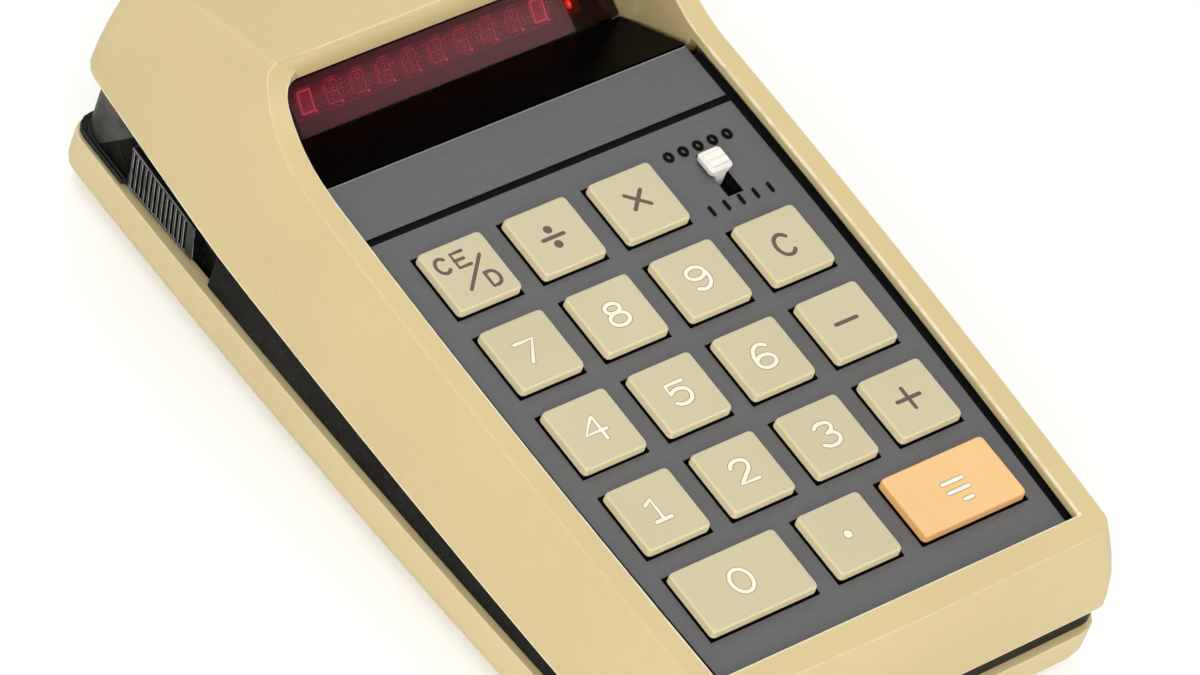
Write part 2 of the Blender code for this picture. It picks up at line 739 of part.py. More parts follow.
def make_keyboard_frame():
    outline = opening_outline(-1.0, -0.9, PLATE_BACK - 1.2, 0.0)
    frame = loft("keyboard_frame", [at_level(outline, FRAME_BOTTOM), at_level(outline, FRAME_TOP)])
    spare = KEY_FLANGE - KEY_CLEARANCE + GAP
    for name, x, y, width in key_layout():
        half_w = width / 2 + spare
        half_d = KEY_HOLE / 2 + spare
        cut(frame, box("pocket", x - half_w, x + half_w, y - half_d, y + half_d, -9.0, 2.0))
    half = MODE_BODY / 2 + GAP
    cut(frame, box("mode_pocket", MODE_X - half, MODE_X + half, MODE_Y - half, MODE_Y + half, -9.0, 2.0))
    return frame


def make_mode_switch():
    half = MODE_BODY / 2
    body = box("mode_switch_body", MODE_X - half, MODE_X + half, MODE_Y - half, MODE_Y + half,
               FRAME_BOTTOM, FRAME_TOP)
    cut(body, mode_slot("body_slot", 0.0, FRAME_TOP - 1.6, 2.0))
    rest = MODE_Y + MODE_TRAVEL / 2
    stem_w = MODE_SLOT_WIDTH - 2 * GAP
    stem_l = MODE_SLOT_LENGTH - MODE_TRAVEL - 2 * GAP
    levels = [
        (FRAME_TOP - 1.3, stem_w, stem_l, 0.3),
        (GAP, stem_w, stem_l, 0.3),
        (GAP, MODE_KNOB - 0.6, MODE_KNOB_LENGTH - 0.4, 0.5),
        (MODE_KNOB_TOP - 0.5, MODE_KNOB - 0.4, MODE_KNOB_LENGTH - 0.3, 0.5),
        (MODE_KNOB_TOP, MODE_KNOB - 1.1, MODE_KNOB_LENGTH - 1.0, 0.4),
    ]
    rings = [at_level(rounded_rectangle(MODE_X, rest, w, d, r), n) for n, w, d, r in levels]
    knob = loft("mode_switch_knob", rings)
    for i in range(3):
        y = rest + (i - 1) * 1.1
        cut(knob, box("rib_gap", MODE_X - 4.0, MODE_X + 4.0, y - 0.2, y + 0.2,
                      MODE_KNOB_TOP - 0.3, MODE_KNOB_TOP + 2.0))
    return body, knob


def surround_direction():
    run = TROUGH_Y - PLATE_BACK
    fall = -TROUGH_N
    length = math.hypot(run, fall)
    return run / length, -fall / length


def make_display():
    start = PLATE_BACK + GAP
    along_y, along_n = surround_direction()
    down_y, down_n = along_n * SURROUND_THICK, -along_y * SURROUND_THICK
    toe = 1.2
    fy, fn = math.cos(FILTER_TILT), math.sin(FILTER_TILT)
    end = (TROUGH_Y - 0.1, TROUGH_N - 0.05)
    profile = [
        (start, 0.0), end,
        (end[0] + down_y - 0.1, end[1] + down_n),
        (start + down_y, down_n - 0.05),
        (start, -0.6),
    ]
    half = RECESS_HALF - GAP
    surround = side_slab("display_surround", profile, -half, half)

    back = (-fn * FILTER_THICK, fy * FILTER_THICK)
    foot = (TROUGH_Y + 0.25, TROUGH_N + 0.05)
    top = (foot[0] + fy * FILTER_LENGTH, foot[1] + fn * FILTER_LENGTH)
    sheet = [foot, (foot[0] - back[0], foot[1] - back[1]), (top[0] - back[0], top[1] - back[1]), top]
    window = side_slab("display_filter", sheet, -half, half)

    def under(distance, lift):
        return (foot[0] + fy * distance + fn * lift, foot[1] + fn * distance - fy * lift)

    def strip(name, d0, d1, l0, l1, x0, x1):
        profile = [under(d0, l0), under(d0, l1), under(d1, l1), under(d1, l0)]
        return side_slab(name, profile, x0, x1)

    row = DIGIT_PITCH * DIGIT_COUNT / 2
    mid = 0.36 * KEY_PITCH
    top_l = FILTER_THICK + GAP
    ends = (mid - DIGIT_STRIP_HALF, mid + DIGIT_STRIP_HALF)
    left = strip("display_digits_left", *ends, top_l, top_l + 1.0, -row, -GAP / 2)
    right = strip("display_digits_right", *ends, top_l, top_l + 1.0, GAP / 2, row)
    board_l = top_l + 1.0 + GAP
    board_half = row + DIGIT_BOARD_MARGIN
    board = strip("display_board", 0.6, FILTER_LENGTH - toe, board_l, board_l + 1.2, -board_half, board_half)
    return surround, window, left, right, board


def make_power_switch():
    """Ribbed thumb piece that fills the band's height, with a neck into the switch body."""
    wall = slot_wall()
    outer = -wall - SLIDER_PROUD
    root = outer + SLIDER_RIB_DEPTH
    inner = -wall + LIP_INSET - GAP
    y0 = SLOT_REAR - GAP - SLIDER_LENGTH
    y1 = SLOT_REAR - GAP
    level = slider_level()
    pitch = (SLIDER_LENGTH - SLIDER_BLOCK) / SLIDER_RIBS
    outline = [(inner, y0), (inner, y1)]
    for i in range(SLIDER_RIBS):
        top = y1 - i * pitch
        outline += [(outer, top), (outer, top - 0.45 * pitch), (root, top - 0.55 * pitch),
                    (root, top - 0.9 * pitch)]
    outline += [(outer, y0 + SLIDER_BLOCK), (outer, y0)]
    lower = [(min(x + SLIDER_LEAN, inner), y, ledge(y) + SLIDER_FOOT_MARGIN) for x, y in outline]
    upper = [(x, y, shell_edge(y) - SLIDER_TOP_MARGIN) for x, y in outline]
    slider = loft("power_switch_slider", [lower, upper])
    neck_y = (y0 + y1) / 2
    half_l, half_h = SLIDER_NECK
    body_x = -wall + LIP_INSET + MIDDLE_WALL + 0.8
    neck_end = body_x + POWER_BODY_DEPTH * 0.2
    join(slider, box("neck", inner - 0.5, neck_end, neck_y - half_l, neck_y + half_l,
                     level - half_h, level + half_h))
    body = box("power_switch_body", body_x, body_x + POWER_BODY_DEPTH, SLOT_FRONT + 1.0, SLOT_REAR - 1.0,
               level - POWER_BODY_HALF, level + POWER_BODY_HALF)
    cut(body, box("body_slot", body_x - 2.0, neck_end + GAP, neck_y - half_l - SLIDER_TRAVEL - GAP,
                  neck_y + half_l + GAP, level - half_h - GAP, level + half_h + GAP))
    return slider, body


def make_jack():
    wall_out = BAND_REAR
    level = jack_level()
    start = wall_out - JACK_LENGTH
    sleeve = JACK_LENGTH - JACK_SHOULDER
    jack = cylinder("charging_jack", (JACK_X, start + JACK_SHOULDER, level), "y",
                    JACK_RADIUS, sleeve + JACK_PROUD, 24, JACK_BORE, JACK_BORE_DEPTH)
    body = box("jack_body", JACK_X - JACK_HALF, JACK_X + JACK_HALF, start,
               wall_out - LIP_INSET - MIDDLE_WALL - GAP, level - JACK_HALF, level + JACK_HALF)
    cut(body, cylinder("body_bore", (JACK_X, start + JACK_SOCKET, level), "y", JACK_BORE + 0.6,
                       JACK_LENGTH, 24))
    return join(jack, body)


def plate_to_base(x, y, n):
    """Point of the plate's frame in the frame of the base, both in millimetres."""
    c, s = math.cos(TILT), math.sin(TILT)
    return (x, y * c - n * s, FOOT_RISE + BASE_DEPTH + y * s + n * c)


def make_cells():
    floor = FOOT_RISE + COVER_FLOOR + 0.4
    z = floor + TRAY_FLOOR + GAP + CELL_RADIUS
    made = []
    for row in range(2):
        y = CELL_ROW_FRONT + row * (CELL_LENGTH + CELL_END_GAP)
        for column in range(3):
            x = (column - 1) * CELL_SPACING
            cell = make_cell("cell_%d" % (row * 3 + column + 1), x, y, z)
            made.append(cell)
    half = 1.5 * CELL_SPACING + TRAY_WALL + 0.2
    tray = box("battery_tray", -half, half, TRAY_FRONT, TRAY_REAR, floor, z)
    cut(tray, box("tray_hollow", -half + TRAY_WALL, half - TRAY_WALL, TRAY_FRONT + TRAY_WALL,
                  TRAY_REAR - TRAY_WALL, floor + TRAY_FLOOR, z + CELL_RADIUS))
    made.append(tray)
    for name, y in (("contact_front", TRAY_FRONT + 1.5), ("contact_rear", TRAY_REAR - 1.9),
                    ("contact_middle", CELL_ROW_FRONT + CELL_LENGTH + 0.4)):
        made.append(box(name, -half + 2.0, half - 2.0, y, y + 0.4, floor + TRAY_FLOOR + GAP, z + 3.0))
    return made


def make_cell(name, x, y, z):
    def ring(radius, along):
        points = []
        for i in range(20):
            a = 2 * math.pi * i / 20
            points.append((x + radius * math.sin(a), y + along, z + radius * math.cos(a)))
        return points

    shoulder = CELL_LENGTH - CELL_NIB
    nib_radius = 0.37 * CELL_RADIUS
    rings = [ring(CELL_RADIUS - 0.7, 0.0), ring(CELL_RADIUS, 0.6), ring(CELL_RADIUS, shoulder - 0.6),
             ring(CELL_RADIUS - 0.7, shoulder), ring(nib_radius, shoulder), ring(nib_radius, CELL_LENGTH)]
    return loft(name, rings)


def make_main_board():
    z = MAIN_BOARD_LEVEL + FOOT_RISE
    board = box("main_circuit_board", -MAIN_BOARD_HALF, MAIN_BOARD_HALF, MAIN_BOARD_FRONT,
                MAIN_BOARD_REAR, z, z + BOARD_THICK)
    top = z + BOARD_THICK + GAP
    rear = MAIN_BOARD_REAR - 0.2
    driver_y = rear - 2 * COIL_RADIUS - DRIVER_SIZE[1] / 2 - 5.7
    chip_y = driver_y - DRIVER_SIZE[1] / 2 - CHIP_SIZE[1] / 2 - 2.0
    chip = make_chip("calculator_chip", 0.0, chip_y, top, CHIP_SIZE)
    left = make_chip("display_driver_1", -DRIVER_X, driver_y, top, DRIVER_SIZE)
    right = make_chip("display_driver_2", DRIVER_X, driver_y, top, DRIVER_SIZE)
    coil = cylinder("converter_coil", (MAIN_BOARD_HALF * 0.6, rear - COIL_RADIUS, top), "z",
                    COIL_RADIUS, COIL_HEIGHT, 20)
    can_start = -MAIN_BOARD_HALF * 0.4 - CAPACITOR_LENGTH
    can = cylinder("filter_capacitor", (can_start, rear - CAPACITOR_RADIUS, top + CAPACITOR_RADIUS), "x",
                   CAPACITOR_RADIUS, CAPACITOR_LENGTH, 16)
    return [board, chip, left, right, coil, can]


def make_chip(name, x, y, z, size):
    """Moulded package with bevelled flanks."""
    length, width, height = size

    def ring(level, shrink):
        return at_level([(x - length / 2 + shrink, y - width / 2 + shrink),
                         (x + length / 2 - shrink, y - width / 2 + shrink),
                         (x + length / 2 - shrink, y + width / 2 - shrink),
                         (x - length / 2 + shrink, y + width / 2 - shrink)], level)
    return loft(name, [ring(z, 0.3), ring(z + height * 0.5, 0.0), ring(z + height, 0.4)])


def make_feet():
    made = []
    for i, (x, y) in enumerate(foot_places()):
        bx, by, bz = plate_to_base(x, y, base_level(y))
        rings = []
        for radius, level in ((FOOT_RADIUS - 0.5, 0.0), (FOOT_RADIUS, 0.5), (FOOT_RADIUS, FOOT_RISE + 0.6)):
            rings.append([(bx + radius * math.cos(2 * math.pi * k / 24),
                           by + radius * math.sin(2 * math.pi * k / 24), level) for k in range(24)])
        made.append(loft("foot_%d" % (i + 1), rings))
    return made


def make_screw(name, side):
    bottom = base_level(SCREW_Y) + SCREW_SINK - SCREW_SEAT
    neck = bottom + SCREW_HEAD_THICK
    slot_width, slot_depth = SCREW_SLOT

    def ring(radius, level):
        return [(SCREW_X * side + radius * math.cos(2 * math.pi * k / 16),
                 SCREW_Y + radius * math.sin(2 * math.pi * k / 16), level) for k in range(16)]

    shaft = SCREW_BORE - 0.15
    rings = [ring(SCREW_HEAD, bottom), ring(SCREW_HEAD, neck), ring(shaft, neck),
             ring(shaft, ledge(SCREW_Y) + SCREW_BITE)]
    screw = loft(name, rings)
    cut(screw, box("drive_slot", SCREW_X * side - BOSS_RADIUS, SCREW_X * side + BOSS_RADIUS,
                   SCREW_Y - slot_width / 2, SCREW_Y + slot_width / 2, bottom - 1.0, bottom + slot_depth))
    return screw


def make_switch_board():
    outline = opening_outline(1.0, 1.0, 0.3 * KEY_PITCH, 0.0, 2)
    return loft("keyboard_switch_board", [at_level(outline, SWITCH_BOARD_BOTTOM),
                                          at_level(outline, SWITCH_BOARD_TOP)])


def place(obj, in_plate_frame, pivot=None):
    """Bring a finished piece into the shared frame in metres; pivot is its joint point."""
    scale = Matrix.Scale(0.001, 4)
    base = Matrix.Translation((0.0, 0.0, FOOT_RISE + BASE_DEPTH))
    turn = base @ Matrix.Rotation(TILT, 4, "X") if in_plate_frame else Matrix.Identity(4)
    whole = scale @ turn
    obj.data.transform(whole)
    if pivot is not None:
        point = whole @ Vector(pivot)
        obj.data.transform(Matrix.Translation(-point))
        obj.location = point
    MADE.append(obj)


def finish(obj, mat):
    tidy(obj, 0.000004)
    obj.data.materials.clear()
    obj.data.materials.append(mat)
    obj.data.shade_smooth()
    obj.data.set_sharp_from_angle(angle=math.radians(32))


def centre_all():
    """Put the middle of the whole part's underside at the origin."""
    low = [1e9, 1e9, 1e9]
    high = [-1e9, -1e9, -1e9]
    for obj in MADE:
        for vert in obj.data.vertices:
            point = vert.co + obj.location
            for axis in range(3):
                low[axis] = min(low[axis], point[axis])
                high[axis] = max(high[axis], point[axis])
    shift = Vector((-(low[0] + high[0]) / 2, -(low[1] + high[1]) / 2, -low[2]))
    for obj in MADE:
        if obj.location.length > 0:
            obj.location += shift
        else:
            obj.data.transform(Matrix.Translation(shift))


def main():
    clear_scene()
    tan = dict(roughness=0.42, coat=0.1)
    black = dict(roughness=0.5)
    jobs = [
        (make_top_housing(), material("tan_upper", TAN, **tan)),
        (make_middle_housing(), material("black_band", BLACK, **black)),
        (make_bottom_cover(), material("tan_cover", TAN, **tan)),
        (make_keyboard_plate(), material("grey_plate", PLATE_GREY, 0.35, 0.6)),
        (make_keyboard_frame(), material("black_frame", BLACK, **black)),
        (make_switch_board(), material("key_board_tan", BOARD_TAN, 0.6)),
        (make_jack(), material("jack_black", BLACK, 0.3)),
        (make_screw("case_screw_1", -1), material("screw_steel_1", METAL, 0.3, 1.0)),
        (make_screw("case_screw_2", 1), material("screw_steel_2", METAL, 0.3, 1.0)),
    ]
    surround, window, left, right, board = make_display()
    jobs += [
        (surround, material("gloss_surround", GLOSS_BLACK, 0.08, coat=1.0)),
        (window, material("red_filter", FILTER_RED, 0.06, coat=1.0, alpha=0.55)),
        (left, material("digit_red_1", LED_RED, 0.3)),
        (right, material("digit_red_2", LED_RED, 0.3)),
        (board, material("display_board_green", BOARD_GREEN, 0.5)),
    ]
    mode_body, knob = make_mode_switch()
    slider, power_body = make_power_switch()
    jobs += [
        (mode_body, material("mode_body_black", BLACK, 0.4)),
        (power_body, material("power_body_black", BLACK, 0.4)),
    ]
    for obj, mat in jobs:
        place(obj, True)
        finish(obj, mat)
    place(knob, True, (MODE_X, MODE_Y + MODE_TRAVEL / 2, 0.0))
    finish(knob, material("knob_ivory", IVORY, 0.4))
    wall = slot_wall()
    slider_y = SLOT_REAR - GAP - SLIDER_LENGTH / 2
    place(slider, True, (-wall + LIP_INSET, slider_y, slider_level()))
    finish(slider, material("slider_black", BLACK, 0.4))
    for name, x, y, width in key_layout():
        key = make_key(name, x, y, width)
        colour = KEY_ORANGE if name == "key_equals" else KEY_GREY
        place(key, True, (x, y, 0.0))
        finish(key, material(name + "_plastic", colour, 0.45))
    colours = {"main": BOARD_GREEN, "calc": CHIP_GREY, "disp": CHIP_GREY, "conv": CHIP_GREY,
               "filt": (0.05, 0.08, 0.25), "cell": CELL_SLEEVE, "batt": BLACK, "cont": METAL}
    for obj in make_main_board() + make_cells():
        metallic = 1.0 if obj.name.startswith("contact") else 0.0
        place(obj, False)
        finish(obj, material(obj.name + "_finish", colours[obj.name[:4]], 0.45, metallic))
    for obj in make_feet():
        place(obj, False)
        finish(obj, material(obj.name + "_rubber", RUBBER, 0.8))
    centre_all()


main()
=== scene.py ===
"""Looks of a hand-held calculator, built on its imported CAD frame.

Points on the key plate are written in millimetres in the plate's own frame: x to the right,
y towards the display and n out of the plate, from the middle of the first key row's rear edge.
"""
import json
import math

import bpy
from mathutils import Matrix, Vector

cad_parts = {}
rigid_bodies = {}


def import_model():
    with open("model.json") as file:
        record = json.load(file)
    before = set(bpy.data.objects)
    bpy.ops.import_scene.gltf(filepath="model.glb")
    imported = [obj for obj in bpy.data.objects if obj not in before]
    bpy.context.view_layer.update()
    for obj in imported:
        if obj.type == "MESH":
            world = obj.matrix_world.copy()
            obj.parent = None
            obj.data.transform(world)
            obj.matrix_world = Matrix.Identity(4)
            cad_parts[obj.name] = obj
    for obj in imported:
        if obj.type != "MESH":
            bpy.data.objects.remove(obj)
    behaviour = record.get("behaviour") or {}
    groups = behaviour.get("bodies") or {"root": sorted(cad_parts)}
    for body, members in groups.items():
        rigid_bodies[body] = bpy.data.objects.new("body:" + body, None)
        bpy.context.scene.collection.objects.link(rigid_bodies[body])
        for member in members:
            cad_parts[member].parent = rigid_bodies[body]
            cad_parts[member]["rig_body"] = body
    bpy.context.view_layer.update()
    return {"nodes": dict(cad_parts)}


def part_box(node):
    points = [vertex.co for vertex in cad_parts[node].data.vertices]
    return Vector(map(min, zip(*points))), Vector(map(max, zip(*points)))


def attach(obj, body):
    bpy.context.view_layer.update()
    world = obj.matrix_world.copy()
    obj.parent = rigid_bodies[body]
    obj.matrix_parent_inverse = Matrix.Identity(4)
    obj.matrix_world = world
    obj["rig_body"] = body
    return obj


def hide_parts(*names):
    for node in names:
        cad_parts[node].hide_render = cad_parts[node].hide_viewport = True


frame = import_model()
nodes = frame["nodes"]

MM = 0.001
PLATE_TILT = math.radians(5.0)
PLATE_ORIGIN = Vector((0.0, 0.0098652, 0.0320933))
PLATE_UP = Vector((0.0, -math.sin(PLATE_TILT), math.cos(PLATE_TILT)))
PLATE_TO_WORLD = (Matrix.Translation(PLATE_ORIGIN) @ Matrix.Rotation(PLATE_TILT, 4, "X")
                  @ Matrix.Scale(MM, 4))

KEY_PITCH = 13.85
KEY_HOLE = 0.768 * KEY_PITCH
KEY_RISE = 1.45
COLUMN_X = [(column - 1.5) * KEY_PITCH for column in range(4)]
ROW_Y = [-row * KEY_PITCH - KEY_HOLE / 2 for row in range(5)]
WIDE_KEY_X = 1.25 * KEY_PITCH
KEY_ROWS = (("key_clear_entry", "key_divide", "key_times"),
            ("key_7", "key_8", "key_9", "key_clear"),
            ("key_4", "key_5", "key_6", "key_minus"),
            ("key_1", "key_2", "key_3", "key_plus"))
KEY_PLACES = {key: (COLUMN_X[column], ROW_Y[row])
              for row, keys in enumerate(KEY_ROWS) for column, key in enumerate(keys)}
KEY_PLACES.update({"key_0": (-WIDE_KEY_X, ROW_Y[4]), "key_point": (0.0, ROW_Y[4]),
                   "key_equals": (WIDE_KEY_X, ROW_Y[4])})

# The plate's groove, holes and rear edge, and how much their dark painted shade lines are widened
GROOVE_MIDDLE = 4.65
GROOVE_REACH = 0.6
GROOVE_WIDENING = 0.17
CUT_DEPTH = -0.15
HOLE_REACH = (0.6, 0.4)
HOLE_WIDENING = 0.10
PLATE_REAR = 14.0
PLATE_TOP = -0.03
PLATE_REAR_EDGE = 0.12
# The least share of up in the normal of a face that slopes, and of one that lies flat
SLOPING = 0.5
FLAT = 0.99

# Marks by the mode switch
MARK_X = 20.8
MARK_STEP = 2.45
MARK_REAR_Y = -0.35
MARK_FRONT_Y = -10.1
MARK_STROKE = (0.52, 0.5)
MARK_RISE = 0.05
LINK_RADII = (0.52, 0.62)
BAR_HALF_HEIGHT = 0.62

# Width and thickness of a legend's strokes
DARK_STROKE = (0.60, 0.05)
SMALL_DARK_STROKE = (0.52, 0.05)
DARK_DOT_STROKE = (0.66, 0.05)
CREAM_STROKE = (0.64, 0.06)
CREAM_DOT_STROKE = (0.68, 0.06)
RIM_STROKE = (0.78, 0.03)
RIM_DOT_STROKE = (0.82, 0.03)
DOT_RADIUS = 0.31

# The red filter's own frame: x to the right, y up its slope, z out of its face, from its foot
FILTER_FOOT = Matrix.Translation((0.0, 1.914 * KEY_PITCH, -0.509 * KEY_PITCH))
FILTER_TO_WORLD = PLATE_TO_WORLD @ FILTER_FOOT @ Matrix.Rotation(math.radians(25.0), 4, "X")
DIGIT_FACE = -1.8
DIGIT_LINE = 0.331 * KEY_PITCH
DIGIT_PITCH = 4.27
DIGIT_FIRST = -18.9
DIGIT_COUNT = 10
DIGIT_HALF_WIDTH = 0.95
DIGIT_HALF_HEIGHT = 1.45
DIGIT_SLANT = 0.17
LIT_WIDTH = 0.48
POINT_WIDTH = 0.42
FAINT_WIDTH = 0.26
TRACE_WIDTH = 0.21
FIGURE_THICKNESS = 0.03
FIGURE_LIFT = 0.02
# Lift and places of the strips of painted glow, which are no lamps, and the end lamp's place and
# shape
PAINTED_GLOW_LIFT = 0.01
MODULE_ENDS = ((-21.3, -0.35), (0.35, 21.3))
MODULE_PAINTED_GLOW_Y = DIGIT_LINE - 0.15
MODULE_PAINTED_GLOW_HEIGHT = 4.6
LAMP_PLACE = (24.2, 3.9)
LAMP_RADIUS = 0.45
LAMP_SHAPE = (1.0, 1.6, 0.8)
LAMP_PAINTED_GLOW_ENDS = (22.9, 25.9)
LAMP_PAINTED_GLOW_HEIGHT = 3.4

# Rims of the power slider: its outer face there, the ends of that edge as (y, z), and the rim's
# height over the edge
SLIDER_HEAD = (-37.25, (37.72, 16.33), (52.25, 18.0), -0.18)
SLIDER_FOOT = (-35.85, (38.35, 9.08), (53.0, 9.13), 0.21)
SLIDER_RIM_DEPTH = 0.45
SLIDER_RIM_HEIGHT = 0.42

# From here on in metres and world coordinates. The shell's lower edge has two straight stretches,
# each given by a point (y, z) and its slope, and the light line above it, rubbed wear with a
# painted highlight, fades between two heights.
EDGE_AT_FRONT = (-0.06672, 0.01121, 0.0614)
EDGE_AT_REAR = (0.06670, 0.02129, 0.1155)
EDGE_HIGHLIGHT_LINE = (0.00042, 0.00030)
# Places on the shell that tell its edges apart
OPENING_FRONT = -0.0616
OPENING_HALF = 0.0300
OPENING_EDGE_X = 0.0313
OPENING_LOW = 0.0250
RIGHT_RAIL_X = 0.0290
RIM_LEVEL = 0.0265
FRONT_CREASE_Y = -0.0629
RAIL_CREASE_X = 0.0315
PLATE_REAR_Y = 0.0240
WELL_TOP = 0.0345
LOWER_EDGE_TOP = 0.0235
LOWER_EDGE_X = 0.0308
LIP_Y = 0.0335
LIP_LEVEL = 0.0425
HOOD_LEVEL = 0.0385
HOOD_X = 0.0320
HOOD_FRONT_Y = 0.0362
HOOD_REAR_Y = 0.0600
# The painted highlight line at the opening's front edge, as the bounds where it fades in
OPENING_SIDES = (OPENING_HALF + 0.0001, OPENING_HALF)
OPENING_HIGHLIGHT_LINE = (("Y", OPENING_FRONT - 0.00036, OPENING_FRONT - 0.00028),
                ("Y", OPENING_FRONT + 0.00016, OPENING_FRONT + 0.00010),
                ("Z", RIM_LEVEL + 0.0003, RIM_LEVEL + 0.0004))
# The two creases between the hood's roof and its walls: the width of their rounding, how sharply
# they turn at least, and how long the edges are that cross them and that they are made of
CREASE_WIDTH = 0.0016
CREASE_TURN = math.radians(20.0)
CROSSING_LENGTH = (0.020, 0.040)
CREASE_LENGTH = (0.005, 0.020)
# Widths of the small rounded edges
SHELL_EDGE = 0.00045
COVER_EDGE = 0.00025
BAND_EDGE = 0.00015
KEY_EDGE = 0.00010
SLIDER_EDGE = 0.00008
STAMPED_EDGE = 0.00006
KNOB_EDGE = 0.00005
# Turns, in degrees, above which an edge is rounded and above which the shading breaks
SHARP_TURN = 35.0
SMOOTH_TURN = 38.0
KEY_SHARP_TURN = 40.0
KEY_SMOOTH_TURN = 50.0
# How much of the rounding the shell's edges get
OPENING_SHARE = 1.0
RAIL_SHARE = 0.30
FRONT_SHARE = 0.07
OTHER_SHARE = 0.60
# How much of the rubbed colour they show, which is rubbed wear and painted highlight together
FULL_WEAR = 1.0
RIGHT_RAIL_WEAR = 0.25
COVER_WEAR = 0.14
LIP_WEAR = 0.10
RIM_WEAR = 0.06
# Heights above the plate of the black painted shadow line and the painted highlight line at a key's
# foot
FOOT_SHADOW_LINE = 0.00010
FOOT_SHADOW_BLUR = 0.00004
FOOT_HIGHLIGHT_LINE = (0.00034, 0.00024)
# Where the board behind the filter ends on either side, past which the filter shows no painted
# reflection haze, and where the filter's black painted shadow border starts
BOARD_END = 0.0225
BOARD_BLUR = 0.0001
FILTER_SHADOW_BORDER = 0.0433
SHADOW_BORDER_BLUR = 0.00005


def choose(obj):
    """Make obj the only selected and active object."""
    bpy.ops.object.select_all(action="DESELECT")
    obj.select_set(True)
    bpy.context.view_layer.objects.active = obj


def set_mode(mode):
    bpy.ops.object.mode_set(mode=mode)


def new_object(name, data):
    obj = bpy.data.objects.new(name, data)
    bpy.context.scene.collection.objects.link(obj)
    return obj


def new_primitive(name, operator, **values):
    """Object that one of Blender's own primitives makes."""
    bpy.ops.object.select_all(action="DESELECT")
    operator(**values)
    obj = bpy.context.active_object
    obj.name = name
    return obj


def add_modifier(obj, kind, **values):
    """Put a modifier on obj and apply it."""
    choose(obj)
    modifier = obj.modifiers.new(kind.title(), kind)
    for name, value in values.items():
        setattr(modifier, name, value)
    bpy.ops.object.modifier_apply(modifier=modifier.name)


def smooth_by_angle(obj, degrees):
    choose(obj)
    bpy.ops.object.shade_smooth_by_angle(angle=math.radians(degrees))


def fixed_to(obj, body, slot, *stands_for):
    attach(obj, body)
    if stands_for:
        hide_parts(*stands_for)


def body_of_node(node):
    return nodes[node]["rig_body"]


# Node groups. A colour is written as three numbers, and is a tuple; anything else is one number.


def opaque(value):
    return (*value, 1.0) if isinstance(value, tuple) else value


def group(name, inputs, outputs):
    """Empty shader node group with its ends."""
    tree = bpy.data.node_groups.new(name, "ShaderNodeTree")
    for label, default in inputs.items():
        kind = "NodeSocketColor" if isinstance(default, tuple) else "NodeSocketFloat"
        socket = tree.interface.new_socket(name=label, in_out="INPUT", socket_type=kind)
        socket.default_value = opaque(default)
    for label in outputs:
        kind = "NodeSocketColor" if label == "Colour" else "NodeSocketFloat"
        tree.interface.new_socket(name=label, in_out="OUTPUT", socket_type=kind)
    return tree, tree.nodes.new("NodeGroupInput").outputs, tree.nodes.new("NodeGroupOutput").inputs


def add(tree, kind, **values):
    """Add the shader node of that kind, such as Math for ShaderNodeMath."""
    node = tree.nodes.new("ShaderNode" + kind)
    for name, value in values.items():
        setattr(node, name, value)
    return node


def feed(socket, value):
    """Link the socket to an output, or set it to a colour or a number."""
    if isinstance(value, bpy.types.NodeSocket):
        socket.id_data.links.new(value, socket)
    else:
        socket.default_value = opaque(value)


def math_node(tree, operation, *values, clamp=False):
    node = add(tree, "Math", operation=operation, use_clamp=clamp)
    for socket, value in zip(node.inputs, values):
        feed(socket, value)
    return node.outputs[0]


def product(tree, first, second, clamp=False):
    return math_node(tree, "MULTIPLY", first, second, clamp=clamp)


def mix_colour(tree, factor, first, second):
    node = add(tree, "Mix", data_type="RGBA")
    for index, value in ((0, factor), (6, first), (7, second)):
        feed(node.inputs[index], value)
    return node.outputs[2]


def ramp(tree, value, low, high):
    """Map value from the range low..high to 0..1."""
    node = add(tree, "MapRange", clamp=True)
    for socket, given in zip(node.inputs, (value, low, high)):
        feed(socket, given)
    return node.outputs[0]


def noise(tree, vector, scale, detail=2.0, roughness=0.5):
    node = add(tree, "TexNoise")
    for label, value in (("Vector", vector), ("Scale", scale), ("Detail", detail),
                         ("Roughness", roughness)):
        feed(node.inputs[label], value)
    return node.outputs["Fac"]


def object_place(tree):
    return add(tree, "TexCoord").outputs["Object"]


def axes(tree, vector):
    """The outputs X, Y and Z of a split vector."""
    node = add(tree, "SeparateXYZ")
    feed(node.inputs[0], vector)
    return node.outputs


def steepness(tree, level, steep):
    """0 where the surface's normal points up by at least level, and 1 where by steep or less."""
    normal = add(tree, "NewGeometry").outputs["Normal"]
    return ramp(tree, axes(tree, normal)["Z"], level, steep)


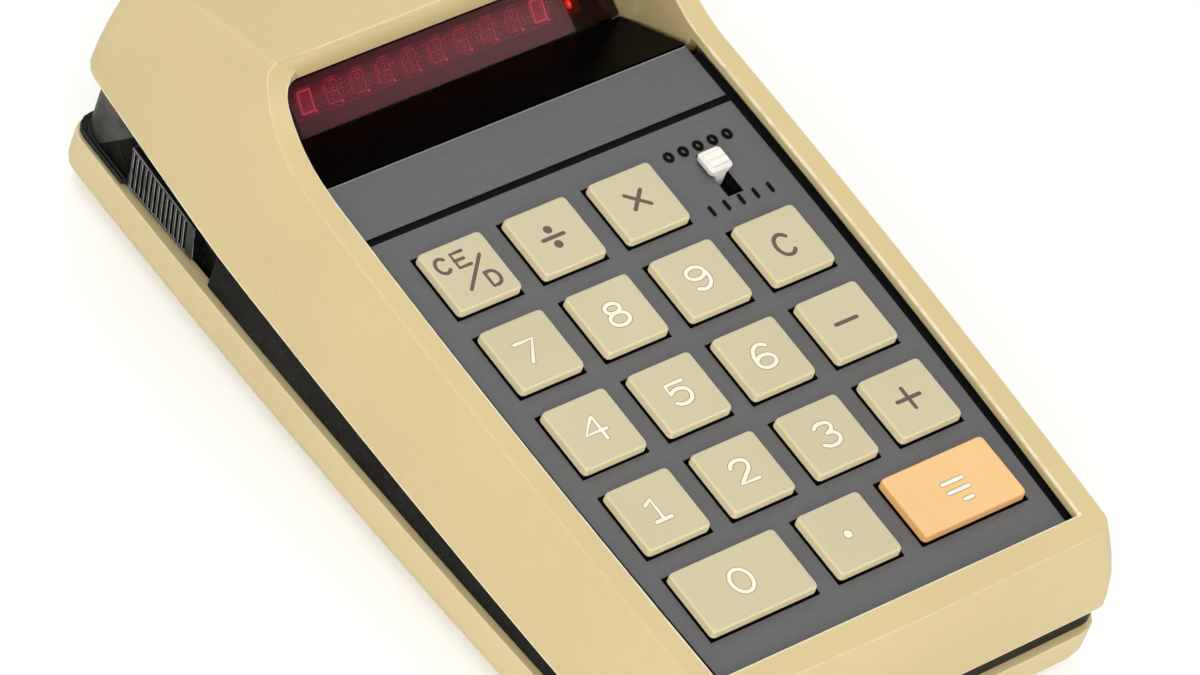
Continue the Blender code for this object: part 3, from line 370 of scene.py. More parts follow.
def moulded_plastic_group():
    """Plastic after years of use: faint mottling, rubbed edges lightened as wear and painted
    highlight, grime specks and a fine grain.
    """
    tree, given, made = group(
        "moulded_plastic",
        {"Colour": (0.5, 0.5, 0.5), "Rubbed highlight colour": (0.8, 0.8, 0.8),
         "Grime colour": (0.1, 0.08, 0.05), "Rubbing and highlight": 0.4, "Grime": 0.3, "Roughness": 0.45},
        ("Colour", "Roughness", "Height"))
    place = object_place(tree)
    broad = noise(tree, place, 45.0, 3.0)
    mottle = noise(tree, place, 420.0, 3.0)
    tint = product(tree, ramp(tree, broad, 0.3, 0.7), 0.10)
    colour = mix_colour(tree, tint, given["Colour"], given["Grime colour"])
    # The middle lines of the rounded edges are lightened: rubbed wear together with a painted
    # highlight.
    edge = add(tree, "Attribute", attribute_name="rubbed_highlight_edge").outputs["Fac"]
    patchy = product(tree, ramp(tree, edge, 0.0, 0.35), ramp(tree, mottle, 0.25, 0.55))
    rubbed = product(tree, patchy, given["Rubbing and highlight"], True)
    colour = mix_colour(tree, rubbed, colour, given["Rubbed highlight colour"])
    smear = ramp(tree, noise(tree, place, 1400.0, 4.0, 0.7), 0.55, 0.72)
    smear = product(tree, steepness(tree, 0.85, 0.25), smear)
    speck = ramp(tree, noise(tree, place, 900.0, 4.0, 0.65), 0.70, 0.76)
    dirt = math_node(tree, "ADD", product(tree, smear, 0.6), product(tree, speck, 0.5), clamp=True)
    dirt = product(tree, dirt, given["Grime"], True)
    feed(made["Colour"], mix_colour(tree, dirt, colour, given["Grime colour"]))
    shine = math_node(tree, "MULTIPLY_ADD", mottle, 0.14, -0.07)
    feed(made["Roughness"], math_node(tree, "ADD", shine, given["Roughness"], clamp=True))
    feed(made["Height"], noise(tree, place, 5200.0, 2.0))
    return tree


def brushed_group():
    """Metal with fine straight brushing along x, and a few dust grains."""
    tree, given, made = group(
        "brushed_metal",
        {"Colour": (0.2, 0.2, 0.2), "Light colour": (0.3, 0.3, 0.3), "Dust": 0.3, "Roughness": 0.4},
        ("Colour", "Roughness", "Height"))
    place = object_place(tree)
    stretch = add(tree, "Mapping")
    stretch.inputs["Scale"].default_value = (420.0, 3000.0, 3000.0)
    feed(stretch.inputs["Vector"], place)
    lines = noise(tree, stretch.outputs["Vector"], 1.0, 4.0, 0.6)
    streak = product(tree, ramp(tree, lines, 0.35, 0.75), 0.35)
    colour = mix_colour(tree, streak, given["Colour"], given["Light colour"])
    shade = product(tree, ramp(tree, noise(tree, place, 60.0, 3.0), 0.35, 0.7), 0.12)
    colour = mix_colour(tree, shade, colour, given["Light colour"])
    grains = ramp(tree, noise(tree, place, 1300.0, 3.0, 0.7), 0.72, 0.77)
    dust = product(tree, grains, given["Dust"], True)
    feed(made["Colour"], mix_colour(tree, dust, colour, (0.55, 0.53, 0.48)))
    rough = math_node(tree, "ADD", product(tree, lines, 0.12), given["Roughness"], clamp=True)
    feed(made["Roughness"], rough)
    feed(made["Height"], lines)
    return tree


def speckle_group():
    """Even colour broken up by a cloudy second one, for boards, sleeves, rubber and lit figures."""
    tree, given, made = group(
        "cloudy_speckle",
        {"Colour": (0.5, 0.5, 0.5), "Second colour": (0.4, 0.4, 0.4), "Scale": 300.0},
        ("Colour", "Height"))
    cloud = noise(tree, object_place(tree), given["Scale"], 4.0, 0.6)
    second = ramp(tree, cloud, 0.35, 0.7)
    feed(made["Colour"], mix_colour(tree, second, given["Colour"], given["Second colour"]))
    feed(made["Height"], cloud)
    return tree


def dust_and_sheen_group():
    """Greyish film of dust and painted sheen that grows towards the tall rear end of the band and
    its upper edge.
    """
    tree, given, made = group(
        "dust_and_sheen_film", {"Colour": (0.01, 0.01, 0.01), "Dust and sheen colour": (0.13, 0.13, 0.12)}, ("Colour",))
    place = object_place(tree)
    split = axes(tree, place)
    rear = ramp(tree, split["Y"], 0.046, 0.058)
    high = ramp(tree, split["Z"], 0.010, 0.020)
    patchy = ramp(tree, noise(tree, place, 220.0, 4.0, 0.6), 0.15, 0.60)
    film = product(tree, product(tree, rear, high), patchy)
    feed(made["Colour"], mix_colour(tree, film, given["Colour"], given["Dust and sheen colour"]))
    return tree


def shell_highlight_line_group():
    """Thin light lines above the shell's lower edge and at the front edge of its opening: the lower
    one rubbed wear with a painted highlight, the front one a painted highlight.
    """
    tree, given, made = group(
        "lower_edge_highlight_line", {"Colour": (0.7, 0.6, 0.3), "Rubbed highlight colour": (1.0, 0.95, 0.75)},
        ("Colour",))
    place = object_place(tree)
    split = axes(tree, place)
    stretches = []
    for y, z, slope in (EDGE_AT_FRONT, EDGE_AT_REAR):
        run = product(tree, math_node(tree, "SUBTRACT", split["Y"], y), slope)
        stretches.append(math_node(tree, "ADD", run, z))
    edge = math_node(tree, "MAXIMUM", *stretches)
    low = ramp(tree, math_node(tree, "SUBTRACT", split["Z"], edge), *EDGE_HIGHLIGHT_LINE)
    across = math_node(tree, "ABSOLUTE", split["X"])
    front = ramp(tree, across, *OPENING_SIDES)
    for axis, start, end in OPENING_HIGHLIGHT_LINE:
        front = product(tree, front, ramp(tree, split[axis], start, end))
    patchy = ramp(tree, noise(tree, place, 500.0, 3.0), 0.30, 0.50)
    mask = product(tree, math_node(tree, "MAXIMUM", low, front), patchy)
    feed(made["Colour"], mix_colour(tree, mask, given["Colour"], given["Rubbed highlight colour"]))
    return tree


def key_side_light_and_shade_group():
    """Key sides painted lighter than the top as painted light, ending in a thin painted highlight
    line and a black painted shadow line at the plate.
    """
    tree, given, made = group(
        "key_side_painted_light_and_shade", {"Colour": (0.7, 0.6, 0.4), "Painted side light colour": (0.8, 0.7, 0.5),
                     "Painted foot highlight colour": (1.0, 0.9, 0.7)}, ("Colour",))
    # The steep sides get a lighter colour: painted light.
    side = steepness(tree, 0.95, 0.35)
    colour = mix_colour(tree, side, given["Colour"], given["Painted side light colour"])
    rise = add(tree, "VectorMath", operation="DOT_PRODUCT")
    feed(rise.inputs[0], object_place(tree))
    rise.inputs[1].default_value = PLATE_UP
    height = math_node(tree, "SUBTRACT", rise.outputs["Value"], PLATE_ORIGIN.dot(PLATE_UP))
    # A thin lighter line just above the foot: painted highlight.
    line = product(tree, ramp(tree, height, *FOOT_HIGHLIGHT_LINE), 0.5)
    colour = mix_colour(tree, line, colour, given["Painted foot highlight colour"])
    # A black line at the foot, where the key meets the plate: painted shadow.
    foot = ramp(tree, height, FOOT_SHADOW_LINE + FOOT_SHADOW_BLUR, FOOT_SHADOW_LINE - FOOT_SHADOW_BLUR)
    feed(made["Colour"], mix_colour(tree, foot, colour, (0.004, 0.004, 0.003)))
    return tree


def filter_reflection_and_shadow_group():
    """Pink painted reflection haze over the board behind a red filter, lighter towards the right,
    with a black painted shadow along the filter's upper border.
    """
    tree, given, made = group(
        "filter_painted_reflection",
        {"Left painted reflection": (0.1, 0.03, 0.04), "Right painted reflection": (0.1, 0.05, 0.05),
         "Clear colour": (0.02, 0.005, 0.004)}, ("Colour", "Alpha", "Height"))
    place = object_place(tree)
    split = axes(tree, place)
    cloud = noise(tree, place, 70.0, 3.0)
    # Painted reflection haze, lighter towards the right.
    across = ramp(tree, split["X"], -0.016, 0.018)
    haze = mix_colour(tree, across, given["Left painted reflection"], given["Right painted reflection"])
    haze = mix_colour(tree, product(tree, cloud, 0.25), haze, given["Clear colour"])
    outside = ramp(tree, math_node(tree, "ABSOLUTE", split["X"]),
                   BOARD_END - BOARD_BLUR, BOARD_END + BOARD_BLUR)
    colour = mix_colour(tree, outside, haze, given["Clear colour"])
    # Black band along the filter's top, under the hood's lip: painted shadow.
    shadow_band = ramp(tree, split["Y"], FILTER_SHADOW_BORDER - SHADOW_BORDER_BLUR, FILTER_SHADOW_BORDER + SHADOW_BORDER_BLUR)
    feed(made["Colour"], mix_colour(tree, shadow_band, colour, (0.006, 0.002, 0.002)))
    feed(made["Alpha"], math_node(tree, "MULTIPLY_ADD", shadow_band, 0.42, 0.58))
    feed(made["Height"], cloud)
    return tree


PLASTIC = moulded_plastic_group()
BRUSHED = brushed_group()
SPECKLE = speckle_group()
KEY_SIDE_LIGHT_AND_SHADE = key_side_light_and_shade_group()


# Materials


def new_material(name):
    material = bpy.data.materials.new(name)
    material.use_nodes = True
    tree = material.node_tree
    return material, tree, tree.nodes["Principled BSDF"]


def effect_node(tree, effect, values):
    node = add(tree, "Group", node_tree=effect)
    for label, value in values.items():
        feed(node.inputs[label], value)
    return node


def finish_of(name, effect, values, bump, **sockets):
    """Material, its shader and the effect that gives its colour, roughness and bump."""
    material, tree, shader = new_material(name)
    for label, value in sockets.items():
        feed(shader.inputs[label.replace("_", " ").title().replace("Ior", "IOR")], value)
    source = effect_node(tree, effect, values)
    feed(shader.inputs["Base Color"], source.outputs["Colour"])
    if "Roughness" in source.outputs:
        feed(shader.inputs["Roughness"], source.outputs["Roughness"])
    if bump:
        relief = add(tree, "Bump")
        feed(relief.inputs["Strength"], bump[0])
        feed(relief.inputs["Distance"], bump[1])
        feed(relief.inputs["Height"], source.outputs["Height"])
        feed(shader.inputs["Normal"], relief.outputs["Normal"])
    return material, shader, source


def pass_through(material, effect, values):
    """Lay one more effect over the colour of a material."""
    tree = material.node_tree
    base = tree.nodes["Principled BSDF"].inputs["Base Color"]
    layer = effect_node(tree, effect, values)
    feed(layer.inputs["Colour"], base.links[0].from_socket)
    feed(base, layer.outputs["Colour"])


def plastic(name, colour, rubbed, grime, rubbing, dirt, roughness, **sockets):
    values = {"Colour": colour, "Rubbed highlight colour": rubbed, "Grime colour": grime,
              "Rubbing and highlight": rubbing, "Grime": dirt, "Roughness": roughness}
    return finish_of(name, PLASTIC, values, (0.12, 0.00005), **sockets)[0]


def brushed(name, colour, light, dust, roughness, bump, metallic):
    values = {"Colour": colour, "Light colour": light, "Dust": dust, "Roughness": roughness}
    return finish_of(name, BRUSHED, values, (bump, 0.00003), metallic=metallic)[0]


def speckled(name, colour, second, scale, roughness, bump=(0.1, 0.00005)):
    values = {"Colour": colour, "Second colour": second, "Scale": scale}
    return finish_of(name, SPECKLE, values, bump, roughness=roughness)[0]


def glowing(name, colour, second, scale, strength):
    """Lit material in two colours."""
    values = {"Colour": colour, "Second colour": second, "Scale": scale}
    material, shader, source = finish_of(name, SPECKLE, values, None, roughness=0.4,
                                         emission_strength=strength)
    feed(shader.inputs["Emission Color"], source.outputs["Colour"])
    return material


def lit(name, colour, strength, share=0.8, scale=2500.0):
    """Lit material, dimmed to a share of its colour in patches."""
    return glowing(name, colour, tuple(share * part for part in colour), scale, strength)


def fading_painted_glow(name, colour, second):
    """Patchy dim red painted glow on a strip that is no lamp, fading out to the sides as the
    strip's own attribute says.
    """
    material = glowing(name, colour, second, 1500.0, 1.0)
    tree = material.node_tree
    fade = add(tree, "Attribute", attribute_name="painted_glow_fade").outputs["Fac"]
    emission = tree.nodes["Principled BSDF"].inputs["Emission Color"]
    glow = mix_colour(tree, fade, (0.0, 0.0, 0.0), emission.links[0].from_socket)
    feed(emission, glow)
    return material


def clear_red(name):
    """Dark red clear plastic, faintly clouded, with a painted reflection haze and a black painted
    shadow border.
    """
    # Colours of the painted reflection haze, and the filter's own clear dark red beyond the board.
    haze = {"Left painted reflection": (0.215, 0.052, 0.068), "Right painted reflection": (0.255, 0.105, 0.112),
            "Clear colour": (0.022, 0.004, 0.003)}
    material, shader, source = finish_of(name, filter_reflection_and_shadow_group(), haze, (0.02, 0.00002),
                                         roughness=0.12, specular_ior_level=0.18)
    feed(shader.inputs["Alpha"], source.outputs["Alpha"])
    return material


# Rubbed edge colour, which also paints the edges' highlight.
RUBBED_HIGHLIGHT_TAN = (1.0, 0.95, 0.76)
GRIME_TAN = (0.34, 0.25, 0.10)
TAN = plastic("tan_case", (0.745, 0.600, 0.300), RUBBED_HIGHLIGHT_TAN, GRIME_TAN, 0.95, 0.22, 0.40,
              coat_weight=0.12)
COVER_TAN = plastic("tan_cover", (0.790, 0.655, 0.350), RUBBED_HIGHLIGHT_TAN, GRIME_TAN, 0.95, 0.22, 0.40,
                    coat_weight=0.12)
KEY_BEIGE = plastic("key_beige", (0.675, 0.600, 0.388), (0.84, 0.79, 0.58), (0.28, 0.20, 0.07),
                    0.45, 0.15, 0.38, coat_weight=0.1)
KEY_ORANGE = plastic("key_orange", (0.985, 0.615, 0.265), (1.0, 0.72, 0.42), (0.62, 0.20, 0.06),
                     0.35, 0.25, 0.38, coat_weight=0.1)
CREAM = plastic("legend_cream", (1.0, 0.97, 0.80), (1.0, 0.97, 0.85), (0.55, 0.48, 0.30),
                0.1, 0.15, 0.40)
LEGEND_BROWN = plastic("legend_brown", (0.115, 0.085, 0.070), (0.20, 0.16, 0.12),
                       (0.05, 0.04, 0.03), 0.2, 0.2, 0.45)
LEGEND_RIM = plastic("legend_rim", (0.33, 0.28, 0.16), (0.40, 0.34, 0.20), (0.2, 0.16, 0.08),
                     0.1, 0.1, 0.5)
BAND_BLACK = plastic("band_black", (0.0025, 0.0025, 0.0025), (0.07, 0.07, 0.066),
                     (0.16, 0.15, 0.125), 0.6, 0.30, 0.36, specular_ior_level=0.045)
INNER_BLACK = plastic("inner_black", (0.006, 0.006, 0.007), (0.03, 0.03, 0.03),
                      (0.04, 0.035, 0.03), 0.3, 0.4, 0.6, specular_ior_level=0.25)
SLIDER_BLACK = plastic("slider_black", (0.006, 0.006, 0.007), (0.42, 0.42, 0.41),
                       (0.03, 0.028, 0.025), 1.0, 0.3, 0.30, specular_ior_level=0.15)
IVORY = plastic("knob_ivory", (1.0, 0.985, 0.91), (1.0, 1.0, 0.96), (0.55, 0.48, 0.32),
                0.4, 0.3, 0.42)
# Black for the plate's cut walls and groove floor, as painted shade, and for the raised mode marks,
# which are black.
CUT_SHADE_AND_MARK_BLACK = plastic("cut_shade_and_mark_black", (0.002, 0.002, 0.002), (0.01, 0.01, 0.01),
                    (0.012, 0.010, 0.008), 0.2, 0.3, 0.7, specular_ior_level=0.08)
SURROUND = plastic("surround_gloss_black", (0.002, 0.002, 0.002), (0.02, 0.02, 0.02),
                   (0.015, 0.013, 0.010), 0.1, 0.15, 0.22, specular_ior_level=0.03)
# Light lines along the shell's lower edge and the opening's front edge: painted highlight, with
# rubbed wear on the lower one.
pass_through(TAN, shell_highlight_line_group(), {"Rubbed highlight colour": (1.0, 0.93, 0.70)})
# A greyish film on the band: dust, with a painted sheen towards its top and rear.
pass_through(BAND_BLACK, dust_and_sheen_group(), {"Dust and sheen colour": (0.205, 0.198, 0.172)})
# The keys' sides are painted lighter, as painted light, and their feet get a painted highlight line
# and a black painted shadow line.
pass_through(KEY_BEIGE, KEY_SIDE_LIGHT_AND_SHADE,
             {"Painted side light colour": (0.95, 0.81, 0.51), "Painted foot highlight colour": (1.0, 0.95, 0.70)})
pass_through(KEY_ORANGE, KEY_SIDE_LIGHT_AND_SHADE,
             {"Painted side light colour": (1.0, 0.56, 0.23), "Painted foot highlight colour": (1.0, 0.66, 0.32)})

PLATE_GREY = brushed("plate_grey", (0.106, 0.106, 0.110), (0.165, 0.165, 0.165),
                     0.25, 0.42, 0.08, 0.2)
# Lighter grey for the plate's rear edge: painted highlight.
PLATE_EDGE_HIGHLIGHT = brushed("plate_edge_painted_highlight", (0.36, 0.36, 0.36), (0.50, 0.50, 0.50), 0.2, 0.38, 0.08, 0.2)
STEEL = brushed("steel_bright", (0.55, 0.55, 0.53), (0.75, 0.74, 0.72), 0.2, 0.28, 0.1, 1.0)

RUBBER = speckled("foot_rubber", (0.018, 0.018, 0.018), (0.035, 0.034, 0.032), 700.0, 0.8,
                  (0.3, 0.0001))
BOARD_GREEN = speckled("board_green", (0.055, 0.14, 0.05), (0.08, 0.19, 0.07), 160.0, 0.4)
BOARD_TAN = speckled("board_tan", (0.36, 0.25, 0.12), (0.45, 0.33, 0.17), 220.0, 0.6)
CHIP_GREY = speckled("chip_grey", (0.022, 0.022, 0.024), (0.045, 0.045, 0.047), 900.0, 0.5)
CAPACITOR_BLUE = speckled("capacitor_blue", (0.03, 0.06, 0.22), (0.05, 0.09, 0.28), 300.0, 0.3)
CELL_SLEEVE = speckled("cell_sleeve", (0.70, 0.68, 0.55), (0.62, 0.60, 0.48), 120.0, 0.35)
DIGIT_BACKING = speckled("digit_backing", (0.030, 0.004, 0.006), (0.060, 0.008, 0.012), 500.0, 0.5)

FILTER_RED = clear_red("filter_red")
DIGIT_LIT = lit("digit_lit", (0.95, 0.045, 0.12), 2.1)
# The unlit faint figures and the board's printed traces glow though they are no lamps: painted
# light.
DIGIT_FAINT_PAINTED_GLOW = lit("digit_faint_painted_glow", (0.62, 0.015, 0.045), 1.9, 0.30, 800.0)
TRACE_PAINTED_GLOW = lit("trace_painted_glow", (0.60, 0.018, 0.050), 2.0, 0.12, 1100.0)
END_LAMP = lit("end_lamp", (1.0, 0.04, 0.02), 3.0)
# Glow strips that are no lamps: painted light.
DIGIT_PAINTED_GLOW = fading_painted_glow("digit_painted_glow", (0.20, 0.006, 0.012), (0.05, 0.002, 0.004))
END_LAMP_PAINTED_GLOW = fading_painted_glow("end_painted_glow", (0.32, 0.012, 0.006), (0.16, 0.006, 0.004))


# Pieces that keep a CAD node's form, with their edges rounded


def cleaned_copy(node, name, merge=0.001):
    """Copy of a CAD node's mesh, merged over so many millimetres, with whole flat faces."""
    obj = new_object(name, nodes[node].data.copy())
    choose(obj)
    obj.data.materials.clear()
    bpy.ops.mesh.customdata_custom_splitnormals_clear()
    set_mode("EDIT")
    bpy.ops.mesh.select_all(action="SELECT")
    bpy.ops.mesh.remove_doubles(threshold=merge * MM)
    bpy.ops.mesh.dissolve_degenerate(threshold=0.002 * MM)
    bpy.ops.mesh.dissolve_limited(angle_limit=math.radians(0.1))
    set_mode("OBJECT")
    return obj


def shell_wear_and_highlight(point):
    """The shell's edges are lightened, as rubbed wear and painted highlight, most along its opening
    and its lower edge, least along its outer rim.
    """
    across = abs(point.x)
    in_well = point.y > PLATE_REAR_Y and point.z < WELL_TOP
    if point.z < LOWER_EDGE_TOP and across > LOWER_EDGE_X:
        return FULL_WEAR
    if point.y > LIP_Y and point.z > LIP_LEVEL:
        return LIP_WEAR
    if across < OPENING_EDGE_X and point.z > OPENING_LOW and not in_well:
        return RIGHT_RAIL_WEAR if point.x > RIGHT_RAIL_X else FULL_WEAR
    return RIM_WEAR


def full_wear(point):
    return FULL_WEAR


WEAR = {"top_housing": shell_wear_and_highlight, "bottom_cover": lambda point: COVER_WEAR}


def mark_rubbed_highlight_edges(obj, wear):
    """Note the middle line of every rounded edge, whose faces carry the second material slot."""
    mesh = obj.data
    inside = [True] * len(mesh.vertices)
    for face in mesh.polygons:
        if face.material_index != 1:
            for index in face.vertices:
                inside[index] = False
        face.material_index = 0
    mark = mesh.attributes.new("rubbed_highlight_edge", "FLOAT", "POINT")
    mark.data.foreach_set("value", [wear(vertex.co) if flag else 0.0
                                    for vertex, flag in zip(mesh.vertices, inside)])
    mesh.materials.pop(index=1)


def round_edges(obj, material, width, wear, **bevel):
    """Give obj its finish and small rounded edges, marked as rubbed and painted as highlight by the
    function wear.
    """
    obj.data.materials.append(material)
    obj.data.materials.append(material)
    add_modifier(obj, "BEVEL", width=width, material=1, **bevel)
    mark_rubbed_highlight_edges(obj, wear)


def edge_turns(mesh):
    """Angle between the two faces at each edge."""
    sides = {}
    for face in mesh.polygons:
        for key in face.edge_keys:
            sides.setdefault(key, []).append(face.normal)
    return {key: pair[0].angle(pair[1]) if len(pair) == 2 else 0.0 for key, pair in sides.items()}


def weigh_shell_edges(obj, sharp):
    """Give the shell's sharp edges their share of the rounding."""
    mesh = obj.data
    turns = edge_turns(mesh)
    weights = mesh.attributes.new("bevel_weight_edge", "FLOAT", "EDGE")
    for edge in mesh.edges:
        ends = [mesh.vertices[index].co for index in edge.vertices]
        share = OTHER_SHARE
        if all(end.z > RIM_LEVEL for end in ends):
            if all(end.y < FRONT_CREASE_Y for end in ends):
                share = FRONT_SHARE
            elif all(abs(end.x) > RAIL_CREASE_X for end in ends):
                share = RAIL_SHARE
            elif all(end.y < PLATE_REAR_Y for end in ends):
                share = OPENING_SHARE
        weights.data[edge.index].value = share if turns[edge.key] > sharp else 0.0


def pick_creases(obj, shortest, longest):
    """Select the sharp edges between the hood's roof and its side walls that are so long."""
    choose(obj)
    set_mode("EDIT")
    bpy.ops.mesh.select_mode(type="EDGE")
    bpy.ops.mesh.select_all(action="DESELECT")
    set_mode("OBJECT")
    mesh = obj.data
    turns = edge_turns(mesh)
    for edge in mesh.edges:
        ends = [mesh.vertices[index].co for index in edge.vertices]
        outer = all(end.z > HOOD_LEVEL and abs(end.x) > HOOD_X
                    and HOOD_FRONT_Y < end.y < HOOD_REAR_Y for end in ends)
        fits = shortest < (ends[0] - ends[1]).length < longest
        edge.select = outer and fits and turns[edge.key] > CREASE_TURN
    set_mode("EDIT")


def soften_hood_creases(obj):
    """Round the two long creases between the hood's roof and its side walls."""
    pick_creases(obj, *CROSSING_LENGTH)
    bpy.ops.mesh.dissolve_edges(use_verts=False)
    set_mode("OBJECT")
    pick_creases(obj, *CREASE_LENGTH)
    bpy.ops.mesh.bevel(offset=CREASE_WIDTH, segments=5, affect="EDGES", clamp_overlap=False)
    set_mode("OBJECT")


def rounded_copy(node, name, slot, material, edge, sharp=SHARP_TURN, smooth=SMOOTH_TURN,
                 merge=0.001):
    """Copy of a CAD node with small rounded edges that the finish can show as rubbed and
    highlighted.
    """
    obj = cleaned_copy(node, name, merge)
    limit, segments = "ANGLE", 2
    if node == "top_housing":
        soften_hood_creases(obj)
        weigh_shell_edges(obj, math.radians(sharp))
        limit, segments = "WEIGHT", 3
    round_edges(obj, material, edge, WEAR.get(node, full_wear), segments=segments,
                limit_method=limit, angle_limit=math.radians(sharp), use_clamp_overlap=False)
    smooth_by_angle(obj, smooth)
    add_modifier(obj, "WEIGHTED_NORMAL", keep_sharp=True, weight=70)
    fixed_to(obj, body_of_node(node), slot, node)


def flat_plate(node, name, slot, material, edge):
    """Copy of a flat stamped plate with its edges broken, its cuts lined in black as painted shade
    and its rear edge given a painted highlight.
    """
    obj = cleaned_copy(node, name)
    widen_cuts(obj)
    add_modifier(obj, "BEVEL", width=edge, segments=1, limit_method="ANGLE",
                 angle_limit=math.radians(SHARP_TURN), use_clamp_overlap=False)
    choose(obj)
    bpy.ops.object.shade_flat()
    obj.data.materials.append(material)
    slope_rear_edge(obj)
    paint_cut_shade_and_edge_highlight(obj)
    fixed_to(obj, body_of_node(node), slot, node)


def paint(node, material):
    """Give a CAD node that stays as it is its finish."""
    data = nodes[node].data
    data.materials.clear()
    data.materials.append(material)


def widen_cuts(plate):
    """Open the key holes and the groove a little."""
    to_plate = PLATE_TO_WORLD.inverted()
    holes = []
    for key, (x, y) in KEY_PLACES.items():
        low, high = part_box(key)
        holes.append((x, y, (high[0] - low[0]) / MM / 2 + HOLE_REACH[0]))
    for vertex in plate.data.vertices:
        point = to_plate @ vertex.co
        if abs(point.y - GROOVE_MIDDLE) < GROOVE_REACH:
            point.y += math.copysign(GROOVE_WIDENING, point.y - GROOVE_MIDDLE)
        for x, y, half_width in holes:
            if abs(point.x - x) < half_width and abs(point.y - y) < KEY_HOLE / 2 + HOLE_REACH[1]:
                point.x += math.copysign(HOLE_WIDENING, point.x - x)
                point.y += math.copysign(HOLE_WIDENING, point.y - y)
                break
        vertex.co = PLATE_TO_WORLD @ point


def slope_rear_edge(plate):
    """Draw the top of the plate's broken rear edge forward, so that it catches the light."""
    to_plate = PLATE_TO_WORLD.inverted()
    for vertex in plate.data.vertices:
        point = to_plate @ vertex.co
        if point.y > PLATE_REAR and point.z > PLATE_TOP:
            point.y -= PLATE_REAR_EDGE
            vertex.co = PLATE_TO_WORLD @ point


def paint_cut_shade_and_edge_highlight(plate):
    """Line the plate's holes and its groove in black as painted shade, and give its rear edge a
    lighter grey as painted highlight.
    """
    to_plate = PLATE_TO_WORLD.inverted()
    plate.data.materials.append(CUT_SHADE_AND_MARK_BLACK)
    plate.data.materials.append(PLATE_EDGE_HIGHLIGHT)
    for face in plate.data.polygons:
        middle = to_plate @ face.center
        level = face.normal.dot(PLATE_UP)
        # The sloped faces of the rear edge get the lighter grey: painted highlight.
        if middle.y > PLATE_REAR and SLOPING < level < FLAT:
            face.material_index = 2
        # The hole walls and the groove floor go black: painted shade.
        elif level < SLOPING or middle.z < CUT_DEPTH:
            face.material_index = 1


# Legends


def arc(cx, cy, rx, ry, start, end, count):
    """Points along an ellipse from one angle to another, in degrees."""
    points = []
    for i in range(count + 1):
        a = math.radians(start + (end - start) * i / count)
        points.append((cx + rx * math.cos(a), cy + ry * math.sin(a)))
    return points


def oval(cx, cy, rx, ry):
    """Nearly closed ellipse; its stroke closes it."""
    return arc(cx, cy, rx, ry, 0, 345, 23)


def smoothed(points, steps=6):
    """Smooth line through the points."""
    ends = [points[0]] + list(points) + [points[-1]]
    line = []
    for a, b, c, d in zip(ends, ends[1:], ends[2:], ends[3:]):
        for i in range(steps):
            t = i / steps
            line.append(tuple(
                0.5 * (2 * q + (r - p) * t + (2 * p - 5 * q + 4 * r - s) * t * t
                       + (3 * q - p - 3 * r + s) * t ** 3)
                for p, q, r, s in zip(a, b, c, d)))
    line.append(points[-1])
    return line


def round_ends(points, width):
    """Line points with the radius share at each, drawn out to a half circle at both ends."""
    def cap(end, before):
        dx, dy = end[0] - before[0], end[1] - before[1]
        length = math.hypot(dx, dy)
        dx, dy = dx / length, dy / length
        steps = []
        for degrees in (30, 55, 75, 88):
            a = math.radians(degrees)
            reach = width / 2 * math.sin(a)
            steps.append((end[0] + dx * reach, end[1] + dy * reach, math.cos(a)))
        return steps

    first = list(reversed(cap(points[0], points[1])))
    last = cap(points[-1], points[-2])
    return first + [(x, y, 1.0) for x, y in points] + last


def inlay(name, strokes, width, thickness, closed=(), plain=False):
    """Flat strokes with round ends, or plain square ones, as one mesh in the plane n = 0."""
    curve = bpy.data.curves.new(name, "CURVE")
    curve.dimensions = "3D"
    curve.bevel_depth = width / 2
    curve.bevel_resolution = 0 if plain else 2
    curve.use_fill_caps = True
    for i, stroke in enumerate(strokes):
        spline = curve.splines.new("POLY")
        spline.use_cyclic_u = i in closed
        if plain or i in closed:
            points = [(x, y, 1.0) for x, y in stroke]
        else:
            points = round_ends(stroke, width)
        spline.points.add(len(points) - 1)
        for point, (x, y, share) in zip(spline.points, points):
            point.co = (x, y, 0.0, 1.0)
            point.radius = share
    choose(new_object(name, curve))
    bpy.ops.object.convert(target="MESH")
    obj = bpy.context.view_layer.objects.active
    obj.data.transform(Matrix.Diagonal((1.0, 1.0, thickness / width, 1.0)))
    return obj


def lay_on_plate(obj, x, y, n):
    """Move a flat piece from the plane n = 0 to its place over the plate."""
    obj.data.transform(PLATE_TO_WORLD @ Matrix.Translation((x, y, n)))
    smooth_by_angle(obj, KEY_SMOOTH_TURN)


def dot(x, y):
    return arc(x, y, DOT_RADIUS, DOT_RADIUS, 0, 342, 19)


